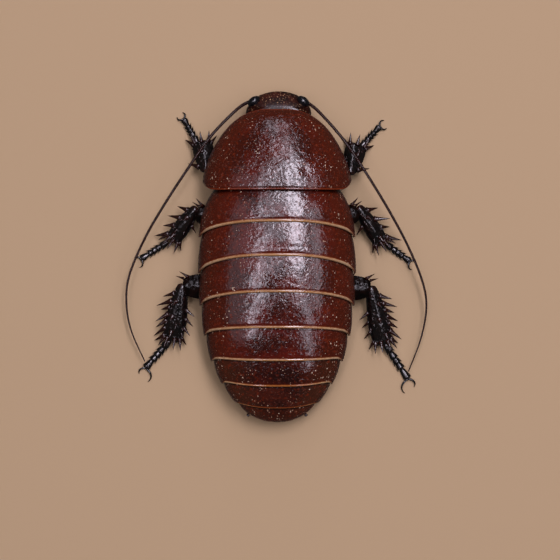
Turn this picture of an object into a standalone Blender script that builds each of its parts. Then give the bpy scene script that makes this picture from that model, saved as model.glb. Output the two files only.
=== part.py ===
"""A rhinoceros cockroach standing on the floor, as a life-size still model.

The head points along -Y, the animal's left side along +X and its back up, with the floor at z = 0.
Lengths here are in millimetres, and MM turns them into the metres of the scene.
The back's outline drives the body and its plates. Each leg is a chain of four limbs
through its joints. Every piece is one closed solid, a thin gap away from its neighbours.
"""

import math
import random

import bmesh
import bpy
from mathutils import Vector

MM = 0.001
UP = Vector((0.0, 0.0, 1.0))
GAP = 0.3

# Outline of the back
TAIL_Y = 38.2
WIDEST_Y = 2.0
HALF_WIDTH = 18.1
SHOULDER_DROP = 2.5
BACK_RISE = 10.3
RIM_Z = 7.0
RIM_DROP = 1.2
ARCH_POWER = 2.0 / 2.3

# Plates of the back
PLATE_THICKNESS = 0.6
PLATE_OVERLAP = 1.5
PLATE_COLUMNS = 22
TAIL_LOBE = 0.3
MARGIN_CORNER = -0.9
PLATE_MARGINS = {
    "mesonotum": (-7.65, 2.4),
    "metanotum": (0.08, 2.9),
    "tergite_1": (8.3, 2.2),
    "tergite_2": (16.4, 1.0),
    "tergite_3": (23.9, -0.6),
    "tergite_4": (29.8, -1.25),
    "tergite_5": (34.9, -1.3),
}

# Shield over the head
SHIELD_FRONT_Y = -33.8
SHIELD_WIDE_Y = -17.3
SHIELD_REAR_Y = -14.9
SHIELD_HALF_WIDTH = 17.0
SHIELD_RISE = 10.4
SHIELD_LIFT = 1.6
SHIELD_THICKNESS = 0.9
SHIELD_CORNER = 2.2

# Body under the plates
CORE_INSET = 2.25
CORE_SEAM = 0.4
WAIST_Y = 0.6
CHEST_Z = 5.9
BELLY = ((0.9, 5.9), (6.0, 5.9), (10.0, 5.6), (14.0, 4.2), (18.0, 3.4), (24.0, 3.2),
         (30.0, 3.8), (34.0, 4.4), (36.8, 4.9))
STERNITE_MARGINS = (8.0, 14.5, 20.5, 26.0, 31.0, 34.6)
STERNITE_STEP = 0.45

# Head, a little to the right of the middle, by level: height, middle, half width and half depth
HEAD_X = -0.35
HEAD_LEVELS = ((7.9, -32.9, 4.0, 1.3), (7.7, -32.9, 5.3, 2.0), (7.2, -32.9, 6.3, 2.85),
               (6.3, -32.9, 7.0, 3.9), (5.3, -32.9, 7.4, 4.85), (4.2, -32.9, 7.2, 5.2),
               (3.1, -33.0, 5.4, 3.9), (2.2, -32.5, 3.4, 2.4), (1.8, -32.2, 1.8, 1.3))
HEAD_BACK = 2.2
EYE_CENTRE = (5.65, -35.7, 6.1)
EYE_RADII = (1.3, 1.1, 1.65)

# Heights of the leg joints
COXA_Z = 3.9
KNEE_Z = 5.0
ANKLE_Z = 1.9
TOE_Z = 0.5

# Half sizes of each limb, how far the thigh sits behind the knee, and the spines on each shin
PAIRS = {
    "front": {"coxa": (3.1, 1.6), "femur": (2.1, 1.35), "set_back": 0.4, "tibia": (2.45, 1.1),
              "tibia_shape": (0.52, 0.82, 1.0, 0.92), "tarsus": 0.62,
              "outer": 2, "inner": 2, "top": 1, "crown": 3, "spine": 2.9},
    "mid": {"coxa": (3.3, 1.6), "femur": (2.6, 1.45), "set_back": 1.2, "tibia": (2.0, 1.15),
            "tibia_shape": (0.58, 0.86, 1.0, 0.9), "tarsus": 0.66,
            "outer": 4, "inner": 2, "top": 2, "crown": 4, "spine": 3.0},
    "hind": {"coxa": (3.7, 1.65), "femur": (2.9, 1.5), "set_back": 0.4, "tibia": (2.55, 1.25),
             "tibia_shape": (0.5, 0.8, 1.0, 0.84), "tarsus": 0.7,
             "outer": 7, "inner": 4, "top": 3, "crown": 4, "spine": 3.1},
}

# Joints of each leg seen from above, and where its two claws end
LEGS = {
    "front_left": {"root": (3.7, -26.0), "hip": (8.3, -17.4), "knee": (16.4, -19.6), "ankle": (17.4, -26.9),
                   "heel": (18.5, -26.4), "toe": (21.8, -32.1), "claws": ((23.4, -32.6), (22.1, -33.7))},
    "front_right": {"root": (-3.7, -26.0), "hip": (-8.3, -17.4), "knee": (-16.8, -19.0),
                    "ankle": (-18.6, -26.2), "heel": (-19.4, -25.4), "toe": (-24.0, -30.4),
                    "claws": ((-25.0, -31.8), (-25.6, -30.0))},
    "mid_left": {"root": (4.0, -16.0), "hip": (10.2, -7.2), "knee": (18.6, -11.3), "ankle": (24.5, -3.6),
                 "heel": (25.3, -3.5), "toe": (31.7, 0.5), "claws": ((33.3, 0.8), (32.2, 2.6))},
    "mid_right": {"root": (-4.0, -16.0), "hip": (-10.2, -7.2), "knee": (-18.7, -11.5), "ankle": (-24.5, -2.9),
                  "heel": (-25.2, -3.1), "toe": (-31.0, 1.1), "claws": ((-32.4, 1.5), (-31.5, 3.1))},
    "hind_left": {"root": (4.3, -6.2), "hip": (9.8, 7.3), "knee": (21.8, 6.4), "ankle": (24.4, 19.8),
                  "heel": (24.9, 19.4), "toe": (30.7, 26.0), "claws": ((32.2, 27.4), (30.2, 29.3))},
    "hind_right": {"root": (-4.3, -6.2), "hip": (-9.8, 7.3), "knee": (-21.7, 6.9), "ankle": (-24.7, 20.6),
                   "heel": (-25.0, 20.1), "toe": (-30.6, 28.5), "claws": ((-29.9, 32.0), (-32.0, 30.5))},
}

# Antennae: points along each, and the four lengths it is divided into
ANTENNA_LEFT = ((4.9, -35.6, 4.1), (6.9, -35.5, 5.0), (9.9, -33.2, 6.6), (15.3, -27.4, 8.0),
                (20.4, -20.2, 8.0), (25.7, -12.2, 7.2), (30.4, -4.3, 5.8), (34.1, 4.2, 4.6),
                (34.9, 10.5, 3.8), (33.9, 17.0, 3.1), (30.9, 24.0, 2.5))
ANTENNA_RIGHT = ((-4.9, -35.6, 4.1), (-6.9, -35.5, 5.0), (-9.9, -33.0, 6.6), (-15.2, -26.8, 8.0),
                 (-20.2, -19.5, 8.0), (-25.6, -10.8, 7.0), (-30.3, -2.2, 5.6), (-33.7, 6.0, 4.5),
                 (-34.6, 12.0, 3.7), (-33.4, 19.0, 3.0), (-30.7, 26.3, 2.5))
ANTENNA_PARTS = {"base": (0.0, 0.25), "middle": (0.25, 0.6), "outer": (0.6, 0.8), "tip": (0.8, 1.0)}
ANTENNA_RADII = (0.6, 0.46, 0.42, 0.4, 0.36, 0.28, 0.17)

COLOURS = {
    "notum": (0.115, 0.022, 0.012),
    "tergite": (0.09, 0.018, 0.01),
    "body": (0.06, 0.018, 0.01),
    "head": (0.045, 0.012, 0.008),
    "eye": (0.006, 0.006, 0.007),
    "mouth": (0.09, 0.03, 0.014),
    "antenna": (0.05, 0.016, 0.01),
    "leg": (0.014, 0.009, 0.008),
}


# Scene and objects

def cleared_collections():
    """Removes what the scene holds and returns a collection for the parts and one for helpers."""
    for old in list(bpy.data.objects):
        bpy.data.objects.remove(old)
    parts = bpy.data.collections.new("rhinoceros_cockroach")
    helpers = bpy.data.collections.new("helpers")
    helpers.hide_render = True
    for group in (parts, helpers):
        bpy.context.scene.collection.children.link(group)
    return parts, helpers


def helper_object(name, body):
    """A mesh object in the helpers' collection, made from this bmesh."""
    mesh = bpy.data.meshes.new(name)
    body.to_mesh(mesh)
    body.free()
    made = bpy.data.objects.new(name, mesh)
    made.display_type = "WIRE"
    HELPERS.objects.link(made)
    return made


def as_part(made, name, colour):
    """Turns a helper into a named part with its own material."""
    made.name = name
    made.data.name = name
    made.display_type = "TEXTURED"
    HELPERS.objects.unlink(made)
    PARTS.objects.link(made)
    material = bpy.data.materials.new(name)
    material.use_nodes = True
    shader = material.node_tree.nodes["Principled BSDF"]
    shader.inputs["Base Color"].default_value = (*COLOURS[colour], 1.0)
    shader.inputs["Roughness"].default_value = 0.35
    made.data.materials.clear()
    made.data.materials.append(material)
    made.data.shade_smooth()
    made.data.set_sharp_from_angle(angle=math.radians(38))
    return made


def baked(made):
    """Replaces the object's mesh by its evaluated one, and drops its modifiers."""
    graph = bpy.context.evaluated_depsgraph_get()
    mesh = bpy.data.meshes.new_from_object(made.evaluated_get(graph))
    old = made.data
    made.modifiers.clear()
    made.data = mesh
    bpy.data.meshes.remove(old)


def combine(made, others, operation):
    """Joins these closed solids to the object, or cuts them from it, and removes them."""
    group = bpy.data.collections.new("operands")
    for other in others:
        group.objects.link(other)
    modifier = made.modifiers.new("combine", "BOOLEAN")
    modifier.operation = operation
    modifier.operand_type = "COLLECTION"
    modifier.collection = group
    modifier.solver = "EXACT"
    baked(made)
    for other in others:
        bpy.data.objects.remove(other)
    bpy.data.collections.remove(group)
    keep_largest(made)


def keep_largest(made):
    """Keeps only the closed surface that encloses the most."""
    body = bmesh.new()
    body.from_mesh(made.data)
    waiting = set(body.faces)
    surfaces = []
    while waiting:
        surface = {waiting.pop()}
        edge_of_it = list(surface)
        while edge_of_it:
            face = edge_of_it.pop()
            for neighbour in (other for edge in face.edges for other in edge.link_faces):
                if neighbour in waiting:
                    waiting.remove(neighbour)
                    surface.add(neighbour)
                    edge_of_it.append(neighbour)
        surfaces.append(surface)
    surfaces.sort(key=lambda faces: sum(face.calc_area() for face in faces))
    extra = [face for surface in surfaces[:-1] for face in surface]
    bmesh.ops.delete(body, geom=extra, context="FACES")
    body.to_mesh(made.data)
    body.free()


# Curves and lofts

def spline(values, where):
    """The value at this share of the way along a smooth run of evenly spaced ones."""
    last = len(values) - 1
    step = min(int(where * last), last - 1)
    local = where * last - step
    before, here, after, beyond = (values[min(max(step + i, 0), last)] for i in (-1, 0, 1, 2))
    bend = before * 2 - here * 5 + after * 4 - beyond
    twist = here * 3 - before - after * 3 + beyond
    return here + (after - before) * (local / 2) + bend * (local ** 2 / 2) + twist * (local ** 3 / 2)


def stepped(pairs, at):
    """Straight-line value at a station, from pairs of station and value."""
    for (near, first), (far, second) in zip(pairs, pairs[1:]):
        if at <= far:
            share = max(0.0, (at - near) / (far - near))
            return first + (second - first) * share
    return pairs[-1][1]


def loft(name, rings):
    """A closed body through rings with the same number of points, flat at both ends."""
    body = bmesh.new()
    loops = [[body.verts.new(point * MM) for point in ring] for ring in rings]
    for near, far in zip(loops, loops[1:]):
        for i in range(len(near)):
            body.faces.new((near[i - 1], near[i], far[i], far[i - 1]))
    body.faces.new(loops[0])
    body.faces.new(loops[-1])
    bmesh.ops.recalc_face_normals(body, faces=body.faces)
    return helper_object(name, body)


def frame_on(path, where, up):
    """Middle, direction, side and top of a path at this share of its length."""
    ahead = spline(path, min(where + 0.02, 1.0))
    behind = spline(path, max(where - 0.02, 0.0))
    along = (ahead - behind).normalized()
    side = up.cross(along).normalized()
    return spline(path, where), along, side, along.cross(side)


def tube(name, path, stations, sides=12, grow=0.0, up=UP):
    """A closed limb through stations of share along the path, half width and half depth."""
    rings = []
    for where, wide, deep in stations:
        middle, along, side, top = frame_on(path, where, up)
        middle = middle + along * grow * (2 * where - 1) ** 3
        turns = [2 * math.pi * i / sides for i in range(sides)]
        rings.append([middle + side * (wide + grow) * math.cos(turn) + top * (deep + grow) * math.sin(turn)
                      for turn in turns])
    return loft(name, rings)


def rounded(widths, depths, rings, blunt):
    """Stations of a limb with rounded ends, from half sizes along it."""
    stations = []
    for ring in range(rings + 1):
        where = (1 - math.cos(math.pi * (ring + 0.5) / (rings + 1))) / 2
        cap = (1 - abs(2 * where - 1) ** blunt) ** (1 / blunt)
        stations.append((where, spline(widths, where) * cap, spline(depths, where) * cap))
    return stations


def ball(name, centre, radii, grow=0.0, segments=14, rings=9):
    """An ellipsoid."""
    body = bmesh.new()
    bmesh.ops.create_uvsphere(body, u_segments=segments, v_segments=rings, radius=1.0)
    for vertex in body.verts:
        scaled = Vector([(radii[i] + grow) * vertex.co[i] for i in range(3)])
        vertex.co = (Vector(centre) + scaled) * MM
    return helper_object(name, body)


def cord(name, points, radii, resolution=2):
    """A round cord through points, with a radius at each, as a closed mesh."""
    curve = bpy.data.curves.new(name, "CURVE")
    curve.dimensions = "3D"
    curve.bevel_depth = MM
    curve.bevel_resolution = resolution
    curve.use_fill_caps = True
    line = curve.splines.new("POLY")
    line.points.add(len(points) - 1)
    for knot, point, radius in zip(line.points, points, radii):
        knot.co = (*(point * MM), 1.0)
        knot.radius = radius
    source = bpy.data.objects.new(name, curve)
    HELPERS.objects.link(source)
    graph = bpy.context.evaluated_depsgraph_get()
    mesh = bpy.data.meshes.new_from_object(source.evaluated_get(graph))
    body = bmesh.new()
    body.from_mesh(mesh)
    body.transform(source.matrix_world)
    bmesh.ops.remove_doubles(body, verts=body.verts, dist=0.00001)
    bmesh.ops.recalc_face_normals(body, faces=body.faces)
    bpy.data.objects.remove(source)
    bpy.data.meshes.remove(mesh)
    return helper_object(name, body)


# Outline of the back

def back_reach(y):
    return min(max((y - WIDEST_Y) / (TAIL_Y - WIDEST_Y), 0.0), 1.0)


def back_width(y):
    """Half width of the back, widest at the first segment behind the legs."""
    ahead = max(WIDEST_Y - y, 0.0) / 17.0
    return HALF_WIDTH * (1 - back_reach(y) ** 2.4) ** 0.5 - SHOULDER_DROP * ahead ** 3


def tail_width(y):
    """Half width of the last plate, fuller at its sides than the line of the back."""
    return back_width(y) + TAIL_LOBE * math.sin(math.pi * min(max((y - 33.6) / 4.4, 0.0), 1.0))


def back_rise(y):
    """Height of the back's crest above its rim."""
    ahead = max(WIDEST_Y - y, 0.0) / 17.0
    return BACK_RISE * (1 - back_reach(y) ** 2.1) ** 0.55 - 0.4 * ahead ** 2


def back_rim(y):
    return RIM_Z - RIM_DROP * back_reach(y) ** 2


def shield_width(y):
    ahead = min(max((SHIELD_WIDE_Y - y) / (SHIELD_WIDE_Y - SHIELD_FRONT_Y), 0.0), 1.0)
    return SHIELD_HALF_WIDTH * (1 - ahead ** 1.35) ** 0.38


def shield_rise(y):
    ahead = min(max((-15.0 - y) / (-15.0 - SHIELD_FRONT_Y), 0.0), 1.0)
    return SHIELD_RISE * (1 - ahead ** 2) ** 0.75


def shield_rim(y):
    ahead = max((SHIELD_WIDE_Y - y) / (SHIELD_WIDE_Y - SHIELD_FRONT_Y), 0.0)
    return RIM_Z + SHIELD_LIFT * ahead ** 2


BACK = (back_width, back_rise, back_rim)
TAIL = (tail_width, back_rise, back_rim)
SHIELD = (shield_width, shield_rise, shield_rim)


def arch_point(outline, y, turn, inset):
    """A point of an arched surface at this station and angle from its crest, sunk by an inset."""
    width, rise, rim = (measure(y) for measure in outline)
    across = math.copysign(abs(math.sin(turn)) ** ARCH_POWER, turn)
    upward = max(math.cos(turn), 0.0) ** ARCH_POWER
    return Vector(((width - inset) * across, y, rim + (rise - inset) * upward))


def margin(centre_y, bow, corner):
    """A plate's edge: the y at each share from the middle line to the side."""
    return lambda side: centre_y + bow * side ** 2.5 - corner * side ** 18


# Plates

def plate(name, outline, front, rear, tuck, thickness, rows, gather=(1.0, 1.0), colour="tergite"):
    """A thin arched plate between two edges, its front sunk by the tuck under the plate before."""
    body = bmesh.new()
    bmesh.ops.create_grid(body, x_segments=PLATE_COLUMNS, y_segments=rows, size=1.0)
    for vertex in body.verts:
        turn = vertex.co.x * math.pi / 2
        side = abs(math.sin(turn))
        along = ((vertex.co.y + 1) / 2) ** gather[0]
        along = 1 - (1 - along) ** gather[1]
        y = front(side) + (rear(side) - front(side)) * along
        vertex.co = arch_point(outline, y, turn, tuck * (1 - along)) * MM
    bmesh.ops.remove_doubles(body, verts=body.verts, dist=0.00002)
    made = helper_object(name, body)
    shell = made.modifiers.new("thickness", "SOLIDIFY")
    shell.thickness = thickness * MM
    shell.offset = -1.0
    shell.use_even_offset = True
    shell.use_quality_normals = True
    return as_part(made, name, colour)


def make_plates():
    """The shield, then each plate of the back tucked under the one before it."""
    shield_rear = margin(SHIELD_REAR_Y, 0.0, SHIELD_CORNER)
    plate("pronotum", SHIELD, lambda side: SHIELD_FRONT_Y, shield_rear, 0.0, SHIELD_THICKNESS, 8,
          gather=(1.8, 1.0), colour="notum")
    before = margin(SHIELD_REAR_Y, 0.0, 0.0)
    edges = []
    for name, at in PLATE_MARGINS.items():
        edges.append((name, margin(*at, 0.0 if name == "tergite_5" else MARGIN_CORNER)))
    edges.append(("tergite_6", lambda side: TAIL_Y))
    for name, rear in edges:
        front = (lambda edge: lambda side: edge(side) - PLATE_OVERLAP)(before)
        length = rear(0.0) - front(0.0)
        tuck = (PLATE_THICKNESS + GAP) / (1 - PLATE_OVERLAP / length)
        last = name == "tergite_6"
        plate(name, TAIL if last else BACK, front, rear, tuck, PLATE_THICKNESS, 5 if last else 3,
              gather=(1.0, 1.9) if last else (1.0, 1.0), colour="notum" if "notum" in name else "tergite")
        before = rear


# Body under the plates

def core_ring(y, half_wide, top, seam_wide, seam_z, bottom, grow):
    """One cross-section: an arch above the seam and a flatter one below it."""
    dorsal = [math.pi * (i / 12 - 0.5) for i in range(13)]
    ventral = [math.pi * (0.5 - i / 10) for i in range(11)]
    ring = []
    for turn in dorsal:
        across = math.copysign(abs(math.sin(turn)) ** ARCH_POWER, turn)
        upward = max(math.cos(turn), 0.0) ** ARCH_POWER
        rise = top - seam_z - CORE_SEAM + grow
        ring.append(Vector(((half_wide + grow) * across, y, seam_z + CORE_SEAM + rise * upward)))
    for turn in ventral:
        across = math.copysign(abs(math.sin(turn)) ** 0.8, turn)
        downward = max(math.cos(turn), 0.0) ** 0.67
        ring.append(Vector(((seam_wide + grow) * across, y, seam_z - (seam_z - bottom + grow) * downward)))
    return ring


def thorax_shape(grow=0.0):
    """The body from neck to waist."""
    neck = ((-30.3, 5.2), (-29.5, 6.0), (-26.0, 9.0), (-20.0, 12.4), (-15.0, 13.4))
    crown = ((-30.3, 8.4), (-29.5, 9.6), (-26.0, 12.4), (-20.0, 14.4), (-15.0, 14.8))
    throat = ((-30.3, 4.8), (-29.5, 4.9), (-26.0, 5.5), (-22.0, CHEST_Z))
    rings = []
    for y in (-30.3, -29.9, -29.5, -27.5, -25.0, -22.0, -18.5, -15.0, -11.0, -7.0, -3.0, WAIST_Y):
        wide = stepped(neck, y) if y < -15.0 else back_width(y) - CORE_INSET
        top = stepped(crown, y) if y < -15.0 else back_rim(y) + back_rise(y) - CORE_INSET
        bottom = stepped(throat, y)
        seam = min(RIM_Z - CORE_SEAM, (top + bottom) / 2 + 0.3)
        rings.append(core_ring(y, wide, top, wide, seam, bottom, grow))
    return loft("thorax", rings)


def abdomen_shape(grow=0.0):
    """The body from waist to tail, with the belly plates as steps."""
    edges = [WAIST_Y + GAP]
    for edge in STERNITE_MARGINS:
        edges += [edge, edge + 0.25]
    edges.append(36.8)
    stations = []
    for near, far in zip(edges[::2], edges[1::2]):
        middle = (near + far) / 2
        stations += [(near, 0.0), (middle, 0.55), (far, 1.0)]
    rings = []
    for y, share in stations:
        step = STERNITE_STEP * share
        wide = max(back_width(y) - CORE_INSET, 0.6)
        seam = back_rim(y) - CORE_SEAM
        top = max(back_rim(y) + back_rise(y) - CORE_INSET, seam + CORE_SEAM + 0.1)
        seam_wide = max(back_width(y) - 1.4, 1.0) + step * 0.6
        rings.append(core_ring(y, wide, top, seam_wide, seam, stepped(BELLY, y) - step + 0.2, grow))
    return loft("abdomen", rings)


# Head

def head_shape(grow=0.0):
    """The head as level rings from crown to mouth."""
    levels = [Vector(level) for level in HEAD_LEVELS]
    rings = []
    for step in range(13):
        z, y, wide, deep = spline(levels, step / 12)
        z += grow * (1 - step / 6)
        ring = []
        for i in range(18):
            turn = 2 * math.pi * i / 18
            reach = deep if math.sin(turn) < 0 else min(deep, HEAD_BACK)
            x = HEAD_X + (wide + grow) * math.cos(turn)
            ring.append(Vector((x, y + (reach + grow) * math.sin(turn), z)))
        rings.append(ring)
    return loft("head", rings)


def eye_shape(side, grow=0.0):
    x, y, z = EYE_CENTRE
    return ball("eye", (HEAD_X + side * x, y, z), EYE_RADII, grow, 12, 8)


def mouth_path(side, points):
    """Points beside the middle of the mouth, on this side of the head."""
    return [Vector((HEAD_X + side * x, y, z)) for x, y, z in points]


def labrum_shape(grow=0.0):
    return ball("labrum", (HEAD_X, -35.2, 2.1), (2.0, 0.8, 1.35), grow, 12, 8)


def mandible_shape(side, grow=0.0):
    path = mouth_path(side, ((2.9, -33.6, 2.9), (2.6, -34.0, 1.9), (0.9, -34.2, 1.0)))
    return tube("mandible", path, rounded((0.9, 1.0, 0.5), (1.1, 1.1, 0.5), 7, 4), 10, grow)


def labium_shape(grow=0.0):
    return ball("labium", (HEAD_X, -31.9, 1.7), (2.3, 1.3, 1.0), grow, 12, 8)


def palp_shape(side):
    path = mouth_path(side, ((3.2, -32.6, 2.6), (4.6, -33.6, 1.9), (4.6, -35.4, 2.2), (3.5, -36.6, 1.2)))
    stations = [(0.0, 0.38, 0.38), (0.3, 0.48, 0.48), (0.34, 0.34, 0.34), (0.64, 0.5, 0.5),
                (0.68, 0.34, 0.34), (0.88, 0.52, 0.52), (1.0, 0.28, 0.28)]
    return tube("palp", path, stations, 8)


def make_head():
    """The head with its eyes set in, and the mouth parts fitted round one another."""
    head = head_shape()
    combine(head, [eye_shape(side, GAP) for side in (1, -1)], "DIFFERENCE")
    as_part(head, "head", "head")
    labrum = labrum_shape()
    combine(labrum, [head_shape(GAP)], "DIFFERENCE")
    as_part(labrum, "labrum", "mouth")
    labium = labium_shape()
    combine(labium, [head_shape(GAP)], "DIFFERENCE")
    as_part(labium, "labium", "mouth")
    for side, name in ((1, "left"), (-1, "right")):
        as_part(eye_shape(side), f"eye_{name}", "eye")
        mandible = mandible_shape(side)
        combine(mandible, [head_shape(GAP), labrum_shape(GAP), labium_shape(GAP)], "DIFFERENCE")
        as_part(mandible, f"mandible_{name}", "mouth")
        palp = palp_shape(side)
        combine(palp, [head_shape(GAP), labium_shape(GAP), mandible_shape(side, GAP)], "DIFFERENCE")
        as_part(palp, f"maxillary_palp_{name}", "mouth")


def make_antenna(points, name, side):
    """One antenna in four lengths, thinning to its tip."""
    path = [Vector(point) for point in points]
    whole = sum((b - a).length for a, b in zip(path, path[1:]))
    for part, (near, far) in ANTENNA_PARTS.items():
        start = near + (GAP / whole if near > 0 else 0.0)
        shares = [start + (far - start) * i / 7 for i in range(8)]
        length = cord("antenna", [spline(path, share) for share in shares],
                      [spline(ANTENNA_RADII, share) for share in shares])
        if part == "base":
            combine(length, [head_shape(GAP), eye_shape(side, GAP)], "DIFFERENCE")
        as_part(length, f"antenna_{name}_{part}", "antenna")


# Legs

def joint(leg, name, z):
    return Vector((*leg[name], z))


def coxa_shape(leg, sizes, grow=0.0):
    """The broad flat limb under the chest."""
    wide, deep = sizes["coxa"]
    path = [joint(leg, "root", COXA_Z), joint(leg, "hip", COXA_Z)]
    path.insert(1, path[0].lerp(path[1], 0.5))
    stations = rounded((wide * 1.05, wide, wide * 0.62), (deep, deep, deep * 0.9), 7, 4)
    return tube("coxa", path, stations, 12, grow)


def thigh_path(leg, sizes):
    hip = joint(leg, "hip", COXA_Z)
    knee = joint(leg, "knee", KNEE_Z)
    knee.y += sizes["set_back"]
    return [hip.lerp(knee, share / 3) for share in range(4)]


def thigh_sizes(sizes):
    wide, deep = sizes["femur"]
    return (wide * 0.62, wide * 0.95, wide, wide * 0.8), (deep * 0.85, deep, deep, deep * 0.9)


def femur_shape(leg, sizes, grow=0.0):
    return tube("femur", thigh_path(leg, sizes), rounded(*thigh_sizes(sizes), 9, 4), 12, grow)


def shin_path(leg):
    knee = joint(leg, "knee", KNEE_Z)
    ankle = joint(leg, "ankle", ANKLE_Z)
    return [knee.lerp(ankle, share / 3) for share in range(4)]


def shin_sizes(sizes):
    wide, deep = sizes["tibia"]
    return [wide * share for share in sizes["tibia_shape"]], (deep * 0.9, deep, deep, deep * 0.62)


def tibia_shape(leg, sizes, grow=0.0):
    """The shin, widest past its middle."""
    return tube("tibia", shin_path(leg), rounded(*shin_sizes(sizes), 8, 5), 10, grow)


def spine_shape(root, direction, length, base):
    """A pointed spine with its root sunk in the limb."""
    body = bmesh.new()
    bmesh.ops.create_cone(body, cap_ends=True, segments=5, radius1=base, radius2=base * 0.14, depth=length)
    turned = UP.rotation_difference(direction).to_matrix()
    for vertex in body.verts:
        vertex.co = (root + turned @ (vertex.co + UP * (length / 2))) * MM
    return helper_object("spine", body)


def spine_on(limb, outer, where, angle, lean, length, base):
    """A spine at this share of a limb, at an angle from its outer edge and leaning to its far end."""
    path, widths, depths = limb
    middle, along, side, top = frame_on(path, where, UP)
    if side.dot(outer) < 0:
        side = -side
    turn = math.radians(angle)
    wide = spline(widths, where)
    deep = spline(depths, where)
    outward = (side * math.cos(turn) * deep + top * math.sin(turn) * wide).normalized()
    surface = middle + side * wide * math.cos(turn) * 0.85 + top * deep * math.sin(turn) * 0.85
    direction = outward * math.cos(math.radians(lean)) + along * math.sin(math.radians(lean))
    return spine_shape(surface, direction, length + 0.4, base)


def shin_spines(leg, sizes, chance):
    """Rows of spines down both edges and the top of a shin, and a crown round its end."""
    limb = (shin_path(leg), *shin_sizes(sizes))
    outer = Vector((leg["knee"][0], 0.0, 0.0))
    long = sizes["spine"]
    rows = [("outer", 0.0, 0.2, 0.88, long, 0.62), ("inner", 180.0, 0.42, 0.88, long * 0.6, 0.45),
            ("top", 70.0, 0.3, 0.8, 1.3, 0.42)]
    spines = []
    for row, angle, first, last, length, base in rows:
        count = sizes[row]
        for i in range(count):
            share = i / (count - 1) if count > 1 else 0.6
            reach = length * chance.uniform(0.85, 1.15)
            if row == "outer" and i % 2 == 0:
                reach *= 0.75
            where = first + (last - first) * share
            turn = angle + chance.uniform(-12, 12)
            lean = 24 + 22 * share + chance.uniform(-5, 5)
            spines.append(spine_on(limb, outer, where, turn, lean, reach, base))
    for i in range(sizes["crown"]):
        angle = 180 * (i + 0.5) / sizes["crown"] - 10 + chance.uniform(-8, 8)
        spines.append(spine_on(limb, outer, 0.9, angle, 62, long * 0.85, 0.45))
    return spines


def knee_spines(leg, sizes):
    """A long and a short spine at the front of the thigh's far end."""
    limb = (thigh_path(leg, sizes), *thigh_sizes(sizes))
    ahead = Vector((0.0, -1.0, 0.0))
    return [spine_on(limb, ahead, 0.88, 12, 58, 1.9, 0.5), spine_on(limb, ahead, 0.62, 5, 40, 1.1, 0.4)]


def tarsus_shape(leg, sizes):
    """The foot: four short joints and a long one, each wider at its far end."""
    heel = joint(leg, "heel", ANKLE_Z)
    toe = joint(leg, "toe", TOE_Z)
    low = heel.lerp(toe, 0.5)
    low.z = sizes["tarsus"] * 0.9
    wide = sizes["tarsus"]
    ends = (0.0, 0.3, 0.44, 0.57, 0.7, 1.0)
    stations = []
    for near, far in zip(ends, ends[1:]):
        stations += [(near, wide * 0.72, wide * 0.7), (far - 0.03, wide, wide * 0.95)]
    stations.append((1.0, wide * 0.6, wide * 0.6))
    foot = tube("tarsus", [heel, low, toe], stations, 8)
    claws = []
    for x, y in leg["claws"]:
        tip = Vector((x, y, 0.18))
        knuckle = toe.lerp(tip, 0.5) + UP * 0.35
        claws.append(cord("claw", [spline([toe, knuckle, tip], i / 3) for i in range(4)],
                          [0.34, 0.3, 0.22, 0.12], 1))
    combine(foot, claws, "UNION")
    return foot


def floor_slab():
    """A slab whose top is the floor, to flatten what the foot stands on."""
    body = bmesh.new()
    bmesh.ops.create_cube(body, size=0.1)
    bmesh.ops.translate(body, verts=body.verts, vec=(0.0, 0.0, -0.05))
    return helper_object("floor", body)


def make_leg(name, leg):
    """A leg from chest to claws, each limb socketed on the one before."""
    pair, side = name.split("_")
    sizes = PAIRS[pair]
    chance = random.Random(name)
    coxa = coxa_shape(leg, sizes)
    neighbours = [thorax_shape(GAP)]
    if pair != "front":
        before = "front" if pair == "mid" else "mid"
        neighbours.append(coxa_shape(LEGS[f"{before}_{side}"], PAIRS[before], GAP))
    combine(coxa, neighbours, "DIFFERENCE")
    as_part(coxa, f"{name}_coxa", "leg")
    femur = femur_shape(leg, sizes)
    if SPINES and pair != "front":
        combine(femur, knee_spines(leg, sizes), "UNION")
    combine(femur, [coxa_shape(leg, sizes, GAP)], "DIFFERENCE")
    as_part(femur, f"{name}_femur", "leg")
    tibia = tibia_shape(leg, sizes)
    if SPINES:
        combine(tibia, shin_spines(leg, sizes, chance), "UNION")
    combine(tibia, [femur_shape(leg, sizes, GAP)], "DIFFERENCE")
    as_part(tibia, f"{name}_tibia", "leg")
    tarsus = tarsus_shape(leg, sizes)
    combine(tarsus, [tibia_shape(leg, sizes, GAP), floor_slab()], "DIFFERENCE")
    as_part(tarsus, f"{name}_tarsus", "leg")


def make_cercus(side, name):
    """A short feeler under the tail."""
    path = [Vector((side * x, y, z)) for x, y, z in ((4.4, 34.0, 4.5), (5.8, 35.5, 4.2), (6.9, 37.0, 4.3))]
    stations = [(0.0, 0.6, 0.45), (0.5, 0.6, 0.42), (0.8, 0.5, 0.38), (1.0, 0.25, 0.25)]
    cercus = tube("cercus", path, stations, 8)
    combine(cercus, [abdomen_shape(GAP)], "DIFFERENCE")
    as_part(cercus, name, "body")


SPINES = True
PARTS, HELPERS = cleared_collections()

make_plates()
chest = thorax_shape()
combine(chest, [head_shape(GAP)], "DIFFERENCE")
as_part(chest, "thorax", "body")
as_part(abdomen_shape(), "abdomen", "body")
make_head()
make_antenna(ANTENNA_LEFT, "left", 1)
make_antenna(ANTENNA_RIGHT, "right", -1)
for leg_name, leg_joints in LEGS.items():
    make_leg(leg_name, leg_joints)
make_cercus(1, "cercus_left")
make_cercus(-1, "cercus_right")
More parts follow.
